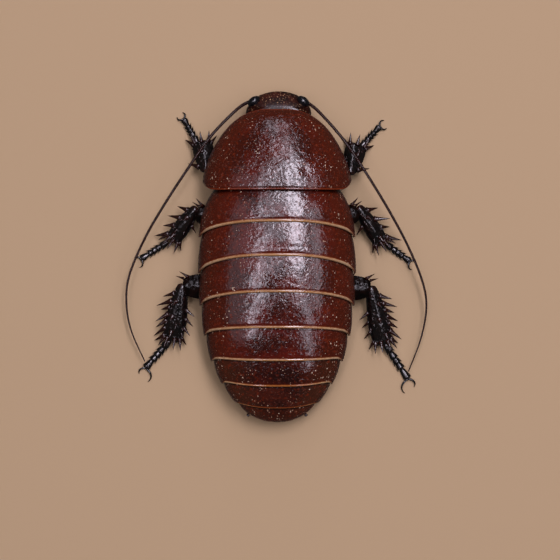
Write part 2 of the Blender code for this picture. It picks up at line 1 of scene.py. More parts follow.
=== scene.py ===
"""The looks of the rhinoceros cockroach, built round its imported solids.

The head points along -Y, the animal's left side along +X, its back up, and the floor is z = 0. Sizes are
in millimetres and MM turns them into the metres of the scene. The sections follow the animal as it is put
together: trunk, legs, plates of the back, head, feelers, tail, then the floor, the light and the camera.
"""

import math
import random

import bmesh
import bpy
from mathutils import Matrix, Vector, noise
from mathutils.kdtree import KDTree


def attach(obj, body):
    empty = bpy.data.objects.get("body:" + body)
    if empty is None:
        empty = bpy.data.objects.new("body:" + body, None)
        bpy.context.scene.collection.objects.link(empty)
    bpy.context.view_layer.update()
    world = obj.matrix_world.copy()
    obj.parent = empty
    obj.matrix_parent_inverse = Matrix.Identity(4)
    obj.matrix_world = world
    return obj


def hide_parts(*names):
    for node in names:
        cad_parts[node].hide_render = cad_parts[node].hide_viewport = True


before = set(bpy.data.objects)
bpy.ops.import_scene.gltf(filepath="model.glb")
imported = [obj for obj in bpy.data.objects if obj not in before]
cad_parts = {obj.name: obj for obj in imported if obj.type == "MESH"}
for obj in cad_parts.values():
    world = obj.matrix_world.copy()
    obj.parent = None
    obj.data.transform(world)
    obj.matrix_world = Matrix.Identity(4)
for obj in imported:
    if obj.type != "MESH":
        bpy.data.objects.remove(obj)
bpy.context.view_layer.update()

# The trunk, from neck to tail: tough dark skin that the plates of the back lie on and the legs hang from.
# Its belly is a row of broad plates, each lapping the next, with thinner and paler skin in the folds and
# down each side. It is one closed skin through rings on the outline that drives the whole body.
MM = 0.001
UP = Vector((0.0, 0.0, 1.0))
TAIL_Y = 38.2
WIDEST_Y = 2.0
WAIST_REACH = 17.0
BACK_HALF_WIDTH = 18.1
BACK_RISE = 10.3
BACK_RIM_Z = 7.0
ARCH_POWER = 0.87
UNDER_PLATES = 2.4
CHEST_Y = -15.0
# Each station: its y, and there the chest's half width, the chest's top or the belly's underside.
CHEST_WIDTHS = ((-31.4, 4.6), (-29.5, 6.2), (-26.0, 9.0), (-20.0, 12.2), (CHEST_Y, 13.2))
CHEST_TOPS = ((-31.4, 7.6), (-29.5, 9.4), (-26.0, 12.2), (-20.0, 14.2), (CHEST_Y, 14.6))
BELLY_HEIGHTS = ((-31.4, 4.6), (-29.5, 4.9), (-26.0, 5.5), (-22.0, 5.9), (6.0, 5.9), (10.0, 5.6), (14.0, 4.2),
                 (18.0, 3.4), (24.0, 3.2), (30.0, 3.8), (34.0, 4.4), (36.8, 5.0))
BELLY_FRONT_Y = 0.9
BELLY_PLATE_EDGES = (8.0, 14.5, 20.5, 26.0, 31.0, 34.6)
FOLD_LENGTH = 0.18
TRUNK_FRONT_Y = -31.4
TRUNK_REAR_Y = 36.8
TRUNK_STEPS = 230
ARCH_SIDES = 36
BELLY_SIDES = 56


def hex_colour(code):
    """The linear colour of an sRGB hex value."""
    parts = [int(code[i:i + 2], 16) / 255 for i in (1, 3, 5)]
    return (*(part / 12.92 if part <= 0.04045 else ((part + 0.055) / 1.055) ** 2.4 for part in parts), 1.0)


def node(tree, kind, inputs=None, out=0, **settings):
    """Adds a node with these settings and input values or links, and gives an output, or all for None."""
    made = tree.nodes.new(kind if "Node" in kind else "ShaderNode" + kind)
    for name, value in settings.items():
        setattr(made, name, value)
    for name, value in (inputs or {}).items():
        if isinstance(value, bpy.types.NodeSocket):
            tree.links.new(value, made.inputs[name])
        else:
            made.inputs[name].default_value = value
    return made.outputs if out is None else made.outputs[out]


def cuticle(name, **surface):
    """A new material and its tree, its surface shader, and the place on the piece in millimetres."""
    material = bpy.data.materials.new(name)
    material.use_nodes = True
    tree = material.node_tree
    shader = tree.nodes["Principled BSDF"]
    for key, value in surface.items():
        shader.inputs[key.replace("_", " ").title().replace("Ior", "IOR")].default_value = value
    place = node(tree, "TexCoord", out="Object")
    place = node(tree, "Mapping", {"Vector": place, "Scale": (1 / MM, 1 / MM, 1 / MM)})
    return material, tree, shader, place


def tinted(tree, shade, tints):
    """Lays tints over a shade in turn, each by a pattern that goes from 0 at low to the most at high."""
    for pattern, low, high, most, tint, *curve in tints:
        share = node(tree, "MapRange", {0: pattern, 1: low, 2: high, 4: most},
                     interpolation_type=curve[0] if curve else "LINEAR")
        shade, tint = (hex_colour(colour) if isinstance(colour, str) else colour for colour in (shade, tint))
        shade = node(tree, "Mix", {0: share, 6: shade, 7: tint}, 2, data_type="RGBA")
    return shade


def dressed(tree, shader, colour=None, relief=None, strength=1.0, depth=1.0, rough=None, **settings):
    """Gives a surface its colour, dents this many millimetres deep, and roughness, where each varies."""
    dents = None
    if relief is not None:
        inputs = {"Height": relief, "Strength": strength, "Distance": depth * MM}
        dents = node(tree, "Bump", inputs, **settings)
    for socket, name in ((colour, "Base Color"), (dents, "Normal"), (rough, "Roughness")):
        if socket is not None:
            tree.links.new(socket, shader.inputs[name])


def ease(low, high, value):
    """Rises smoothly from 0 at low to 1 at high."""
    share = min(max((value - low) / (high - low), 0.0), 1.0)
    return share * share * (3 - 2 * share)


def spline(values, where):
    """The value at this share of the way along a smooth run of evenly spaced ones."""
    last = len(values) - 1
    step = min(int(where * last), last - 1)
    local = where * last - step
    before, here, after, beyond = (values[min(max(step + i, 0), last)] for i in (-1, 0, 1, 2))
    bend = before * 2 - here * 5 + after * 4 - beyond
    twist = here * 3 - before - after * 3 + beyond
    return here + (after - before) * (local / 2) + bend * (local ** 2 / 2) + twist * (local ** 3 / 2)


def eased(pairs, at):
    """The value at a station, from pairs of station and value, with the corners between them rounded off."""
    total = 0.0
    for shift in (-1.4, -0.7, 0.0, 0.7, 1.4):
        place = min(max(at + shift, pairs[0][0]), pairs[-1][0])
        for (near, first), (far, second) in zip(pairs, pairs[1:]):
            if place <= far:
                total += first + (second - first) * (place - near) / (far - near)
                break
    return total / 5


def placed(name, data):
    """A new object of this data, in the scene at the origin."""
    made = bpy.data.objects.new(name, data)
    bpy.context.scene.collection.objects.link(made)
    return made


def marked_mesh(name, points, edges, faces, **marks):
    """A mesh from points in millimetres, which keeps marks, each a number or a direction for every point."""
    mesh = bpy.data.meshes.new(name)
    mesh.from_pydata([point * MM for point in points], edges, faces)
    for key, values in marks.items():
        if isinstance(values[0], Vector):
            flat = [number for value in values for number in value]
            mesh.attributes.new(key, "FLOAT_VECTOR", "POINT").data.foreach_set("vector", flat)
        else:
            mesh.attributes.new(key, "FLOAT", "POINT").data.foreach_set("value", values)
    return mesh


def surface_object(name, points, faces, material, **marks):
    """A smooth mesh object of this material."""
    mesh = marked_mesh(name, points, [], faces, **marks)
    mesh.shade_smooth()
    mesh.materials.append(material)
    return placed(name, mesh)


def wrapped(rings):
    """The points and faces of a skin through rings of equally many points, closed by a point each end."""
    count = len(rings[0])
    points = [point for ring in rings for point in ring]
    faces = []
    for row in range(len(rings) - 1):
        for i in range(count):
            j = (i + 1) % count
            faces.append((row * count + i, row * count + j, (row + 1) * count + j, (row + 1) * count + i))
    for ring, turned in ((0, True), (len(rings) - 1, False)):
        points.append(sum(rings[ring], Vector()) / count)
        for i in range(count):
            corner = (ring * count + i, ring * count + (i + 1) % count)
            faces.append((*(reversed(corner) if turned else corner), len(points) - 1))
    return points, faces


def remade(made, change):
    """Changes the mesh of a piece in place."""
    body = bmesh.new()
    body.from_mesh(made.data)
    change(body)
    body.to_mesh(made.data)
    body.free()
    return made


def faces_out(made):
    """Turns every face of a closed piece outwards."""
    return remade(made, lambda body: bmesh.ops.recalc_face_normals(body, faces=body.faces))


def wears(piece, slot, *nodes):
    """Sets a piece on the body, in place of these solids. The slot is not used."""
    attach(piece, "root")
    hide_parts(*nodes)


def back_reach(y):
    return min(max((y - WIDEST_Y) / (TAIL_Y - WIDEST_Y), 0.0), 1.0)


def back_width(y):
    ahead = max(WIDEST_Y - y, 0.0) / WAIST_REACH
    return BACK_HALF_WIDTH * (1 - back_reach(y) ** 2.4) ** 0.5 - 2.5 * ahead ** 3


def back_rise(y):
    ahead = max(WIDEST_Y - y, 0.0) / WAIST_REACH
    return BACK_RISE * (1 - back_reach(y) ** 2.1) ** 0.55 - 0.4 * ahead ** 2


def back_rim(y):
    return BACK_RIM_Z - 1.2 * back_reach(y) ** 2


def belly_step(y):
    """How far through its belly plate a station lies, from 0 at the front to 1 at the lapping rear edge."""
    before = BELLY_FRONT_Y
    for edge in BELLY_PLATE_EDGES:
        if y <= edge:
            return (y - before) / (edge - before)
        if y < edge + FOLD_LENGTH:
            return 1 - (y - edge) / FOLD_LENGTH
        before = edge + FOLD_LENGTH
    return (y - before) / (TRUNK_REAR_Y - before)


def arch(turn, side_power=ARCH_POWER, top_power=ARCH_POWER):
    """How far out and up a squared arch reaches at this angle from its crest, as shares of its size."""
    return math.copysign(abs(math.sin(turn)) ** side_power, turn), max(math.cos(turn), 0.0) ** top_power


def trunk_ring(y):
    """One cross-section of the trunk: the arch under the back's plates, then the belly."""
    rim = back_rim(y)
    if y < CHEST_Y:
        wide, top = eased(CHEST_WIDTHS, y), eased(CHEST_TOPS, y)
    else:
        wide, top = max(back_width(y) - UNDER_PLATES, 0.5), max(rim + back_rise(y) - UNDER_PLATES, rim - 0.2)
    bottom = eased(BELLY_HEIGHTS, y)
    seam = min(rim - 0.4, (top + bottom) / 2 + 0.3)
    shoulder = seam + 0.3
    step = belly_step(y) if y > BELLY_FRONT_Y else 0.0
    low = bottom - 0.45 * step + 0.15 * ease(0.0, 2.0, y)
    seam_wide = wide + (ease(0.0, 3.0, y) if wide > 1 else 0.4) + 0.22 * step
    ring = []
    for i in range(ARCH_SIDES + 1):
        across, up = arch(math.pi * (i / ARCH_SIDES - 0.5))
        ring.append(Vector((wide * across, y, shoulder + (top - shoulder) * up)))
    for i in range(1, BELLY_SIDES):
        across, down = arch(math.pi * (0.5 - i / BELLY_SIDES), 0.8, 0.67)
        keel = 0.25 * math.exp(-(across * 9) ** 2) * (1 - ease(-1.0, 5.0, y)) * ease(-27.0, -24.0, y)
        pleat = 0.07 * math.sin(y * 5.2 + across * 3) * ease(0.86, 0.97, abs(across)) * (1 - down)
        x = seam_wide * across + math.copysign(pleat, across)
        ring.append(Vector((x, y, seam - (seam - low) * down - keel)))
    return ring


tough_skin, tree, shader, place = cuticle("tough_body_skin", roughness=0.38, ior=1.54)
# Tanned cuticle, dark and dull with a soft gloss, paler and
# browner where it has to fold, pebbled 0.3 mm apart.
cloud = node(tree, "TexNoise", {"Vector": place, "Scale": 0.45, "Detail": 4.0})
pebble = node(tree, "TexVoronoi", {"Vector": place, "Scale": 3.2, "Smoothness": 0.6}, feature="SMOOTH_F1")
fold = node(tree, "Attribute", out="Fac", attribute_name="fold")
skin = tinted(tree, "#1d0d09", ((cloud, 0.0, 1.0, 1.0, "#3a1a11"), (fold, 0.0, 1.0, 1.0, "#7a5236")))
grain = node(tree, "Math", {0: cloud, 1: pebble}, operation="ADD")
dressed(tree, shader, skin, grain, 0.5, 0.08)

stations = [TRUNK_FRONT_Y + (TRUNK_REAR_Y - TRUNK_FRONT_Y) * i / TRUNK_STEPS for i in range(TRUNK_STEPS + 1)]
stations += [edge + shift for edge in BELLY_PLATE_EDGES for shift in (-0.02, 0.06, 0.12, 0.19)]
stations.sort()
trunk_points, trunk_faces = wrapped([trunk_ring(y) for y in stations])
folds = []
for point in trunk_points:
    reach = min(abs(point.y - edge - 0.15) for edge in BELLY_PLATE_EDGES)
    side = ease(0.5, 0.2, abs(point.z - back_rim(point.y) + 0.6)) if point.y > -14 else 0.0
    folds.append(max(0.85 * ease(0.22, 0.06, reach) * ease(0.0, 3.0, point.y), 0.6 * side))
trunk = faces_out(surface_object("body_skin", trunk_points, trunk_faces, tough_skin, fold=folds))
wears(trunk, "body_shell", "thorax", "abdomen")

# The hips: three pairs of broad flat limbs under the chest, of black
# cuticle, each turning in a socket of the trunk. Every limb here is a closed
# skin round a line between two joints, whose places are those of the solids.
LEG_JOINTS = {
    "front_left": {"root": (3.7, -26.0), "hip": (8.3, -17.4), "knee": (16.4, -19.6), "ankle": (17.4, -26.9),
                   "heel": (18.5, -26.4), "toe": (21.8, -32.1), "claws": ((23.4, -32.6), (22.1, -33.7))},
    "front_right": {"root": (-3.7, -26.0), "hip": (-8.3, -17.4), "knee": (-16.8, -19.0),
                    "ankle": (-18.6, -26.2), "heel": (-19.4, -25.4), "toe": (-24.0, -30.4),
                    "claws": ((-25.0, -31.8), (-25.6, -30.0))},
    "mid_left": {"root": (4.0, -16.0), "hip": (10.2, -7.2), "knee": (18.6, -11.3), "ankle": (24.5, -3.6),
                 "heel": (25.3, -3.5), "toe": (31.7, 0.5), "claws": ((33.3, 0.8), (32.2, 2.6))},
    "mid_right": {"root": (-4.0, -16.0), "hip": (-10.2, -7.2), "knee": (-18.7, -11.5), "ankle": (-24.5, -2.9),
                  "heel": (-25.2, -3.1), "toe": (-31.0, 1.1), "claws": ((-32.4, 1.5), (-31.5, 3.1))},
    "hind_left": {"root": (4.3, -6.2), "hip": (9.8, 7.3), "knee": (21.8, 6.4), "ankle": (24.4, 19.8),
                  "heel": (24.9, 19.4), "toe": (30.7, 26.0), "claws": ((32.2, 27.4), (30.2, 29.3))},
    "hind_right": {"root": (-4.3, -6.2), "hip": (-9.8, 7.3), "knee": (-21.7, 6.9), "ankle": (-24.7, 20.6),
                   "heel": (-25.0, 20.1), "toe": (-30.6, 28.5), "claws": ((-29.9, 32.0), (-32.0, 30.5))},
}
# Each pair's half widths and half depths, how far the thigh's end sits back from the knee, the shares of
# its width that a shin has from knee to ankle, and the half width of a foot.
LIMB_SIZES = {
    "front": {"hip": (3.1, 1.6), "thigh": (2.1, 1.35), "set_back": 0.4, "shin": (2.45, 1.1),
              "shin_shape": (0.52, 0.82, 1.0, 0.92), "foot": 0.8},
    "mid": {"hip": (3.3, 1.6), "thigh": (2.6, 1.45), "set_back": 1.2, "shin": (2.0, 1.15),
            "shin_shape": (0.58, 0.86, 1.0, 0.9), "foot": 0.82},
    "hind": {"hip": (3.7, 1.65), "thigh": (2.9, 1.5), "set_back": 0.4, "shin": (2.55, 1.25),
             "shin_shape": (0.5, 0.8, 1.0, 0.84), "foot": 0.92},
}
LEGS = [(name, leg, LIMB_SIZES[name.split("_")[0]]) for name, leg in LEG_JOINTS.items()]
HIP_Z = 3.9
KNEE_Z = 5.0
ANKLE_Z = 1.9
TOE_Z = 0.5


def frame_on(path, where):
    """Middle, direction, side and top of a path at this share of its length."""
    ahead = spline(path, min(where + 0.02, 1.0))
    behind = spline(path, max(where - 0.02, 0.0))
    along = (ahead - behind).normalized()
    side = UP.cross(along).normalized()
    return spline(path, where), along, side, along.cross(side)


def rounded(widths, depths, rings, blunt):
    """Stations of a limb with rounded ends, each a share of its length, a half width and a half depth."""
    stations = []
    for ring in range(rings + 1):
        where = (1 - math.cos(math.pi * (ring + 0.35) / (rings + 0.7))) / 2
        cap = (1 - abs(2 * where - 1) ** blunt) ** (1 / blunt)
        stations.append((where, spline(widths, where) * cap, spline(depths, where) * cap))
    return stations


def joined(name, pieces):
    """One mesh object from several, which are removed."""
    body = bmesh.new()
    for piece in pieces:
        body.from_mesh(piece.data)
    mesh = bpy.data.meshes.new(name)
    body.to_mesh(mesh)
    body.free()
    mesh.materials.append(pieces[0].data.materials[0])
    for piece in pieces:
        bpy.data.objects.remove(piece)
    return placed(name, mesh)


def limb(name, path, stations, material, sides=28, crest=(2.0, 0.5)):
    """A closed limb with a round or ridged top. Its material can read how far along it a point lies."""
    rings = []
    for where, wide, deep in stations:
        middle, _, side, top = frame_on(path, where)
        ring = []
        for i in range(sides):
            turn = 2 * math.pi * i / sides
            across, upward = math.cos(turn), math.sin(turn)
            if upward > 0:
                upward = max(1 - abs(across) ** crest[0], 0.0) ** crest[1]
            ring.append(middle + side * wide * across + top * deep * upward)
        rings.append(ring)
    points, faces = wrapped(rings)
    shares = [where for where, _, _ in stations for _ in range(sides)] + [0.0, 1.0]
    return faces_out(surface_object(name, points, faces, material, along=shares))


def joint(leg, name, z):
    return Vector((*leg[name], z))


def leg_cuticle(name, dark, brown, gloss, coat, lumpy, depth, ior):
    """Hard, nearly black cuticle, lumpy and finely pitted, and dark red where it thins at a joint."""
    material, tree, shader, place = cuticle(name, ior=ior, coat_weight=coat)
    lumps = node(tree, "TexVoronoi", {"Vector": place, "Scale": lumpy, "Smoothness": 0.5}, feature="SMOOTH_F1")
    cloud = node(tree, "TexNoise", {"Vector": place, "Scale": 0.7, "Detail": 5.0})
    ends = node(tree, "Attribute", out="Fac", attribute_name="along")
    shade = tinted(tree, dark, ((cloud, 0.35, 0.65, 1.0, brown), (ends, 0.12, 0.0, 0.45, "#3e160c")))
    relief = node(tree, "Math", {0: cloud, 1: 0.5, 2: lumps}, operation="MULTIPLY_ADD")
    rough = node(tree, "MapRange", {0: cloud, 3: gloss, 4: gloss + 0.22})
    dressed(tree, shader, shade, relief, 0.8, depth, rough)
    return material


black_shell = leg_cuticle("black_shin_cuticle", "#060608", "#150c0a", 0.07, 0.5, 1.5, 0.12, 1.6)
thigh_shell = leg_cuticle("black_thigh_cuticle", "#040303", "#180a07", 0.12, 0.0, 1.0, 0.28, 1.36)

for name, leg, sizes in LEGS:
    wide, deep = sizes["hip"]
    path = [joint(leg, "root", HIP_Z).lerp(joint(leg, "hip", HIP_Z), share / 2) for share in range(3)]
    stations = rounded((wide * 1.05, wide, wide * 0.62), (deep, deep, deep * 0.9), 26, 4)
    wears(limb(f"{name}_hip", path, stations, thigh_shell), "leg_shell", f"{name}_coxa")

# The thighs: thick flattened limbs that swell past their middle, with a groove
# below that takes the folded shin, and on the middle and hind legs three short
# spines in front, near the knee. Spines are hollow outgrowths of the same cuticle,
# fat at the root and drawn out thin. One node tree stands them on marked points.
# A spine's outline: a share of its length, and the share of its root radius there.
SPINE_PROFILE = ((0.0, 1.0), (0.12, 0.82), (0.3, 0.58), (0.6, 0.36), (0.88, 0.15), (1.0, 0.03))
# Each knee spine: share along the thigh, angle from its front, lean to the knee, length and root radius.
KNEE_SPINES = ((0.88, 12, 58, 2.1, 0.5), (0.62, 5, 40, 1.3, 0.4), (0.97, -30, 70, 1.6, 0.4))


def planted(tree, points, piece, turned, size, material):
    """The nodes that set a piece on each point and turn them all into one plain smooth mesh."""
    made = node(tree, "GeometryNodeInstanceOnPoints",
                {"Points": points, "Instance": piece, "Rotation": turned, "Scale": size})
    for kind, inputs in (("GeometryNodeRealizeInstances", {}), ("GeometryNodeSetShadeSmooth", {}),
                         ("GeometryNodeSetMaterial", {"Material": material})):
        made = node(tree, kind, {0: made, **inputs})
    return made


def unit_rod(tree, sides, lengths):
    """The nodes for a rod one unit long and one in radius: its mesh, and its points' x, y and z."""
    size = {"Radius Top": 1.0, "Radius Bottom": 1.0, "Depth": 1.0}
    rod = node(tree, "GeometryNodeMeshCone", {"Vertices": sides, "Side Segments": lengths, **size}, "Mesh")
    return rod, *node(tree, "SeparateXYZ", {0: node(tree, "GeometryNodeInputPosition")}, None)


def spike_nodes(tree, points, aim, bow, reach, stout, sides, lengths, bend, material):
    """The nodes that set a tapered, bent spike on each point."""
    rod, x, y, z = unit_rod(tree, sides, lengths)
    taper = node(tree, "FloatCurve", {"Value": z})
    mapping = taper.node.mapping
    curve = mapping.curves[0].points
    while len(curve) < len(SPINE_PROFILE):
        curve.new(0.5, 0.5)
    for point, location in zip(curve, SPINE_PROFILE):
        point.location = location
    mapping.update()
    squared = node(tree, "Math", {0: z, 1: 2.0}, operation="POWER")
    shift = node(tree, "Math", {0: squared, 1: bend}, operation="MULTIPLY")
    thin_x = node(tree, "Math", {0: x, 1: taper, 2: shift}, operation="MULTIPLY_ADD")
    thin_y = node(tree, "Math", {0: y, 1: taper}, operation="MULTIPLY")
    shape = node(tree, "CombineXYZ", {0: thin_x, 1: thin_y, 2: z})
    spike = node(tree, "GeometryNodeSetPosition", {"Geometry": rod, "Position": shape})
    turned = node(tree, "FunctionNodeAlignRotationToVector", {"Vector": bow}, axis="X")
    turned = node(tree, "FunctionNodeAlignRotationToVector", {"Rotation": turned, "Vector": aim}, axis="Z")
    size = node(tree, "CombineXYZ", {0: stout, 1: stout, 2: reach})
    return planted(tree, points, spike, turned, size, material)


def growth_tree(name, **sockets):
    """A new node tree for a mesh, with named inputs, and the sockets of its input and output nodes."""
    tree = bpy.data.node_groups.new(name, "GeometryNodeTree")
    for way in ("INPUT", "OUTPUT"):
        tree.interface.new_socket("Geometry", in_out=way, socket_type="NodeSocketGeometry")
    for label, kind in sockets.items():
        tree.interface.new_socket(label.replace("_", " "), in_out="INPUT", socket_type="NodeSocket" + kind)
    return tree, node(tree, "NodeGroupInput", out=None), tree.nodes.new("NodeGroupOutput").inputs


def grown(made, tree, **values):
    """Runs a tree on an object with these inputs, and keeps only the plain mesh that it makes."""
    modifier = made.modifiers.new("growth", "NODES")
    modifier.node_group = tree
    for item in tree.interface.items_tree:
        key = item.name.replace(" ", "_")
        if item.in_out == "INPUT" and key in values:
            modifier[item.identifier] = values[key]
    bpy.context.view_layer.update()
    mesh = bpy.data.meshes.new_from_object(made.evaluated_get(bpy.context.evaluated_depsgraph_get()))
    made.modifiers.clear()
    mesh.materials.clear()
    mesh.materials.append(values["Material"])
    mesh.polygons.foreach_set("material_index", [0] * len(mesh.polygons))
    made.data = mesh
    return made


spine_tree, given, result = growth_tree("spines_on_points", Sides="Int", Lengths="Int", Bend="Float",
                                        Material="Material")
marks = [node(spine_tree, "GeometryNodeInputNamedAttribute", {"Name": mark}, data_type=kind)
         for mark, kind in (("aim", "FLOAT_VECTOR"), ("bow", "FLOAT_VECTOR"),
                            ("reach", "FLOAT"), ("stout", "FLOAT"))]
spines = spike_nodes(spine_tree, given["Geometry"], *marks, given["Sides"], given["Lengths"], given["Bend"],
                     given["Material"])
spine_tree.links.new(spines, result["Geometry"])


def spines_from(name, roots, material, sides=9, lengths=7):
    """Spines on marked roots, each a place, an aim, the way that it bows, a length and a root radius."""
    places, aims, bows, reaches, radii = zip(*roots)
    mesh = marked_mesh(name, places, [], [], aim=aims, bow=bows, reach=[reach * MM for reach in reaches],
                       stout=[radius * MM for radius in radii])
    return faces_out(grown(placed(name, mesh), spine_tree, Sides=sides, Lengths=lengths, Bend=0.1,
                           Material=material))


def spine_root(shape, outer, where, angle, lean, length, base):
    """Where a spine stands on a limb, at an angle from its outer edge, and which way it leans."""
    path, widths, depths = shape
    middle, along, side, top = frame_on(path, where)
    if side.dot(outer) < 0:
        side = -side
    turn, tip = math.radians(angle), math.radians(lean)
    wide, deep = spline(widths, where), spline(depths, where)
    outward = (side * math.cos(turn) * deep + top * math.sin(turn) * wide).normalized()
    root = middle + side * wide * math.cos(turn) * 0.85 + top * deep * math.sin(turn) * 0.85
    return root, outward * math.cos(tip) + along * math.sin(tip), along, length + 0.4, base


def thigh_shape(leg, sizes):
    wide, deep = sizes["thigh"]
    hip, knee = joint(leg, "hip", HIP_Z), joint(leg, "knee", KNEE_Z)
    knee.y += sizes["set_back"]
    path = [hip.lerp(knee, share / 3) for share in range(4)]
    return path, (wide * 0.62, wide * 0.95, wide, wide * 0.8), (deep * 0.85, deep, deep, deep * 0.9)


for name, leg, sizes in LEGS:
    shape = thigh_shape(leg, sizes)
    thigh = limb(f"{name}_thigh", shape[0], rounded(shape[1], shape[2], 34, 4), thigh_shell, 32, (1.4, 0.95))
    if "front" not in name:
        roots = [spine_root(shape, Vector((0.0, -1.0, 0.0)), *spine) for spine in KNEE_SPINES]
        thigh = joined(f"{name}_thigh", [thigh, spines_from("knee_spines", roots, thigh_shell)])
    wears(thigh, "leg_shell", f"{name}_femur")

# The shins: the digging tools, ridged along the top and armed with stout spines down both edges, on the top
# and in a crown round the far end. The spines are part of the same hard cuticle, long and short ones in turn.
# Each pair's shins: how many spines stand in each row and in the crown, and how long the longest are.
SHIN_SPINES = {
    "front": {"outer": 2, "inner": 2, "top": 1, "crown": 3, "long": 2.9},
    "mid": {"outer": 4, "inner": 2, "top": 2, "crown": 4, "long": 3.0},
    "hind": {"outer": 7, "inner": 4, "top": 3, "crown": 4, "long": 3.1},
}
SMALL_SPINES = 18


def shin_shape(leg, sizes):
    wide, deep = sizes["shin"]
    knee, ankle = joint(leg, "knee", KNEE_Z), joint(leg, "ankle", ANKLE_Z)
    path = [knee.lerp(ankle, share / 3) for share in range(4)]
    return path, [wide * share for share in sizes["shin_shape"]], (deep * 0.9, deep, deep, deep * 0.62)


def shin_roots(name, leg, shape):
    """The rows of spines of one shin, in the places of the solids' own, with small ones between them."""
    chance, small = random.Random(name), random.Random(name + " small")
    counts = SHIN_SPINES[name.split("_")[0]]
    outer = Vector((leg["knee"][0], 0.0, 0.0))
    long, crown = counts["long"], counts["crown"]
    rows = (("outer", 0.0, 0.2, 0.88, long, 0.8), ("inner", 180.0, 0.42, 0.88, long * 0.65, 0.6),
            ("top", 70.0, 0.3, 0.8, 1.2, 0.65))
    roots = []
    for row, angle, first, last, length, base in rows:
        for i in range(counts[row]):
            share = i / (counts[row] - 1) if counts[row] > 1 else 0.6
            reach = length * chance.uniform(0.85, 1.15) * (0.75 if row == "outer" and i % 2 == 0 else 1)
            turn = angle + chance.uniform(-12, 12)
            lean = 24 + 22 * share + chance.uniform(-5, 5)
            roots.append(spine_root(shape, outer, first + (last - first) * share, turn, lean, reach, base))
    for i in range(crown):
        angle = 180 * (i + 0.5) / crown - 10 + chance.uniform(-8, 8)
        roots.append(spine_root(shape, outer, 0.9, angle, 62, long * 0.75, 0.64))
    for _ in range(SMALL_SPINES):
        where = small.uniform(0.15, 0.92)
        angle = small.choice((small.uniform(-25, 60), small.uniform(120, 205), small.uniform(60, 120)))
        roots.append(spine_root(shape, outer, where, angle, small.uniform(25, 50), small.uniform(0.1, 0.45),
                                small.uniform(0.2, 0.3)))
    return roots


for name, leg, sizes in LEGS:
    shape = shin_shape(leg, sizes)
    shin = limb("shin", shape[0], rounded(shape[1], shape[2], 36, 5), black_shell, 32, (1.7, 0.72))
    spines = spines_from("shin_spines", shin_roots(name, leg, shape), black_shell)
    wears(joined(f"{name}_shin", [shin, spines]), "leg_shell", f"{name}_tibia")

# The feet: four short joints and a long one, each a little cup that holds the next, with two curved claws
# at the end. They are black cuticle like the shins, bend down at the heel and lie flat on the floor.
FOOT_JOINTS = (0.0, 0.3, 0.44, 0.57, 0.7, 1.0)
CLAW_TIP_Z = 0.12
CLAW_RINGS = 14
FLOOR_GAP = 0.02


def bead(near, far, steps, thick, blunt, power, least=0.0, more=0.0, flat=1.0, slim=None):
    """Stations of one short joint between two shares of a path, with blunt ends and a slimmer root."""
    stations = []
    for step in range(steps + 1):
        share = step / steps
        size = thick * max(1 - abs(2 * share - 1) ** blunt, least) ** power + more
        if slim:
            size *= slim[0] + slim[1] * ease(slim[2], 0.8, share)
        stations.append((near + (far - near) * share, size, size * flat))
    return stations


def off_floor(made):
    """Keeps every point of a piece just above the floor."""
    for vertex in made.data.vertices:
        vertex.co.z = max(vertex.co.z, FLOOR_GAP * MM)
    return made


for name, leg, sizes in LEGS:
    wide = sizes["foot"]
    heel, toe = joint(leg, "heel", ANKLE_Z), joint(leg, "toe", TOE_Z)
    low = heel.lerp(toe, 0.5)
    low.z = wide * 0.9
    path = [heel, low, toe]
    pieces = []
    for near, far in zip(FOOT_JOINTS, FOOT_JOINTS[1:]):
        start = max(near - 0.02, 0.0)
        stations = bead(start, far, 10, wide, 7, 0.5, 0.45 ** 2, flat=0.95, slim=(0.7, 0.33, 0.05))
        pieces.append(limb("foot_joint", path, stations, black_shell, 18))
    shape = (path, (wide,) * 3, (wide * 0.8,) * 3)
    outer = Vector((heel.x, 0.0, 0.0))
    roots = [spine_root(shape, outer, far - 0.03, angle, 55, 0.26, 0.16)
             for far in FOOT_JOINTS[1:-1] for angle in (-8, 188)]
    pieces.append(spines_from("foot_spines", roots, black_shell, 7, 5))
    for number, (x, y) in enumerate(leg["claws"]):
        tip = Vector((x, y, CLAW_TIP_Z))
        reach = tip - toe
        bulge = UP.cross(reach) * (0.27 if number else -0.27)
        if bulge.dot(Vector((*leg["claws"][1 - number], CLAW_TIP_Z)) - tip) > 0:
            bulge = -bulge
        line = [toe, toe + reach * 0.35 + bulge + UP * 0.3, toe + reach * 0.75 + bulge + UP * 0.25, tip]
        tapers = [(ring / CLAW_RINGS, (1 - ring / CLAW_RINGS) ** 0.6) for ring in range(CLAW_RINGS + 1)]
        stations = [(share, 0.24 * taper + 0.03, 0.3 * taper + 0.03) for share, taper in tapers]
        pieces.append(limb("claw", line, stations, black_shell, 10))
    wears(off_floor(joined(f"{name}_foot", pieces)), "leg_shell", f"{name}_tarsus")

# The plates of the back: one thin hard arch for each segment, polished mahogany brown and finely
# dented, each lapping the next. The rear edge is a rolled band of cream and orange cuticle, and
# the sides end in a thin rim.
# Each plate: its rear edge on the middle line, and how much farther back the sides of that edge lie.
PLATE_EDGES = {
    "mesonotum": (-7.65, 2.4),
    "metanotum": (0.08, 2.9),
    "tergite_1": (8.3, 2.2),
    "tergite_2": (16.4, 1.0),
    "tergite_3": (23.9, -0.6),
    "tergite_4": (29.8, -1.25),
    "tergite_5": (34.9, -1.3),
}
SHIELD_FRONT_Y = -33.8
SHIELD_WIDE_Y = -17.3
SHIELD_CREST_Y = -15.0
SHIELD_REAR_Y = -14.9
PLATE_THICKNESS = 0.35
PLATE_CLEARANCE = 0.1
PLATE_OVERLAP = 1.5
NOT_LAPPED = 9.0
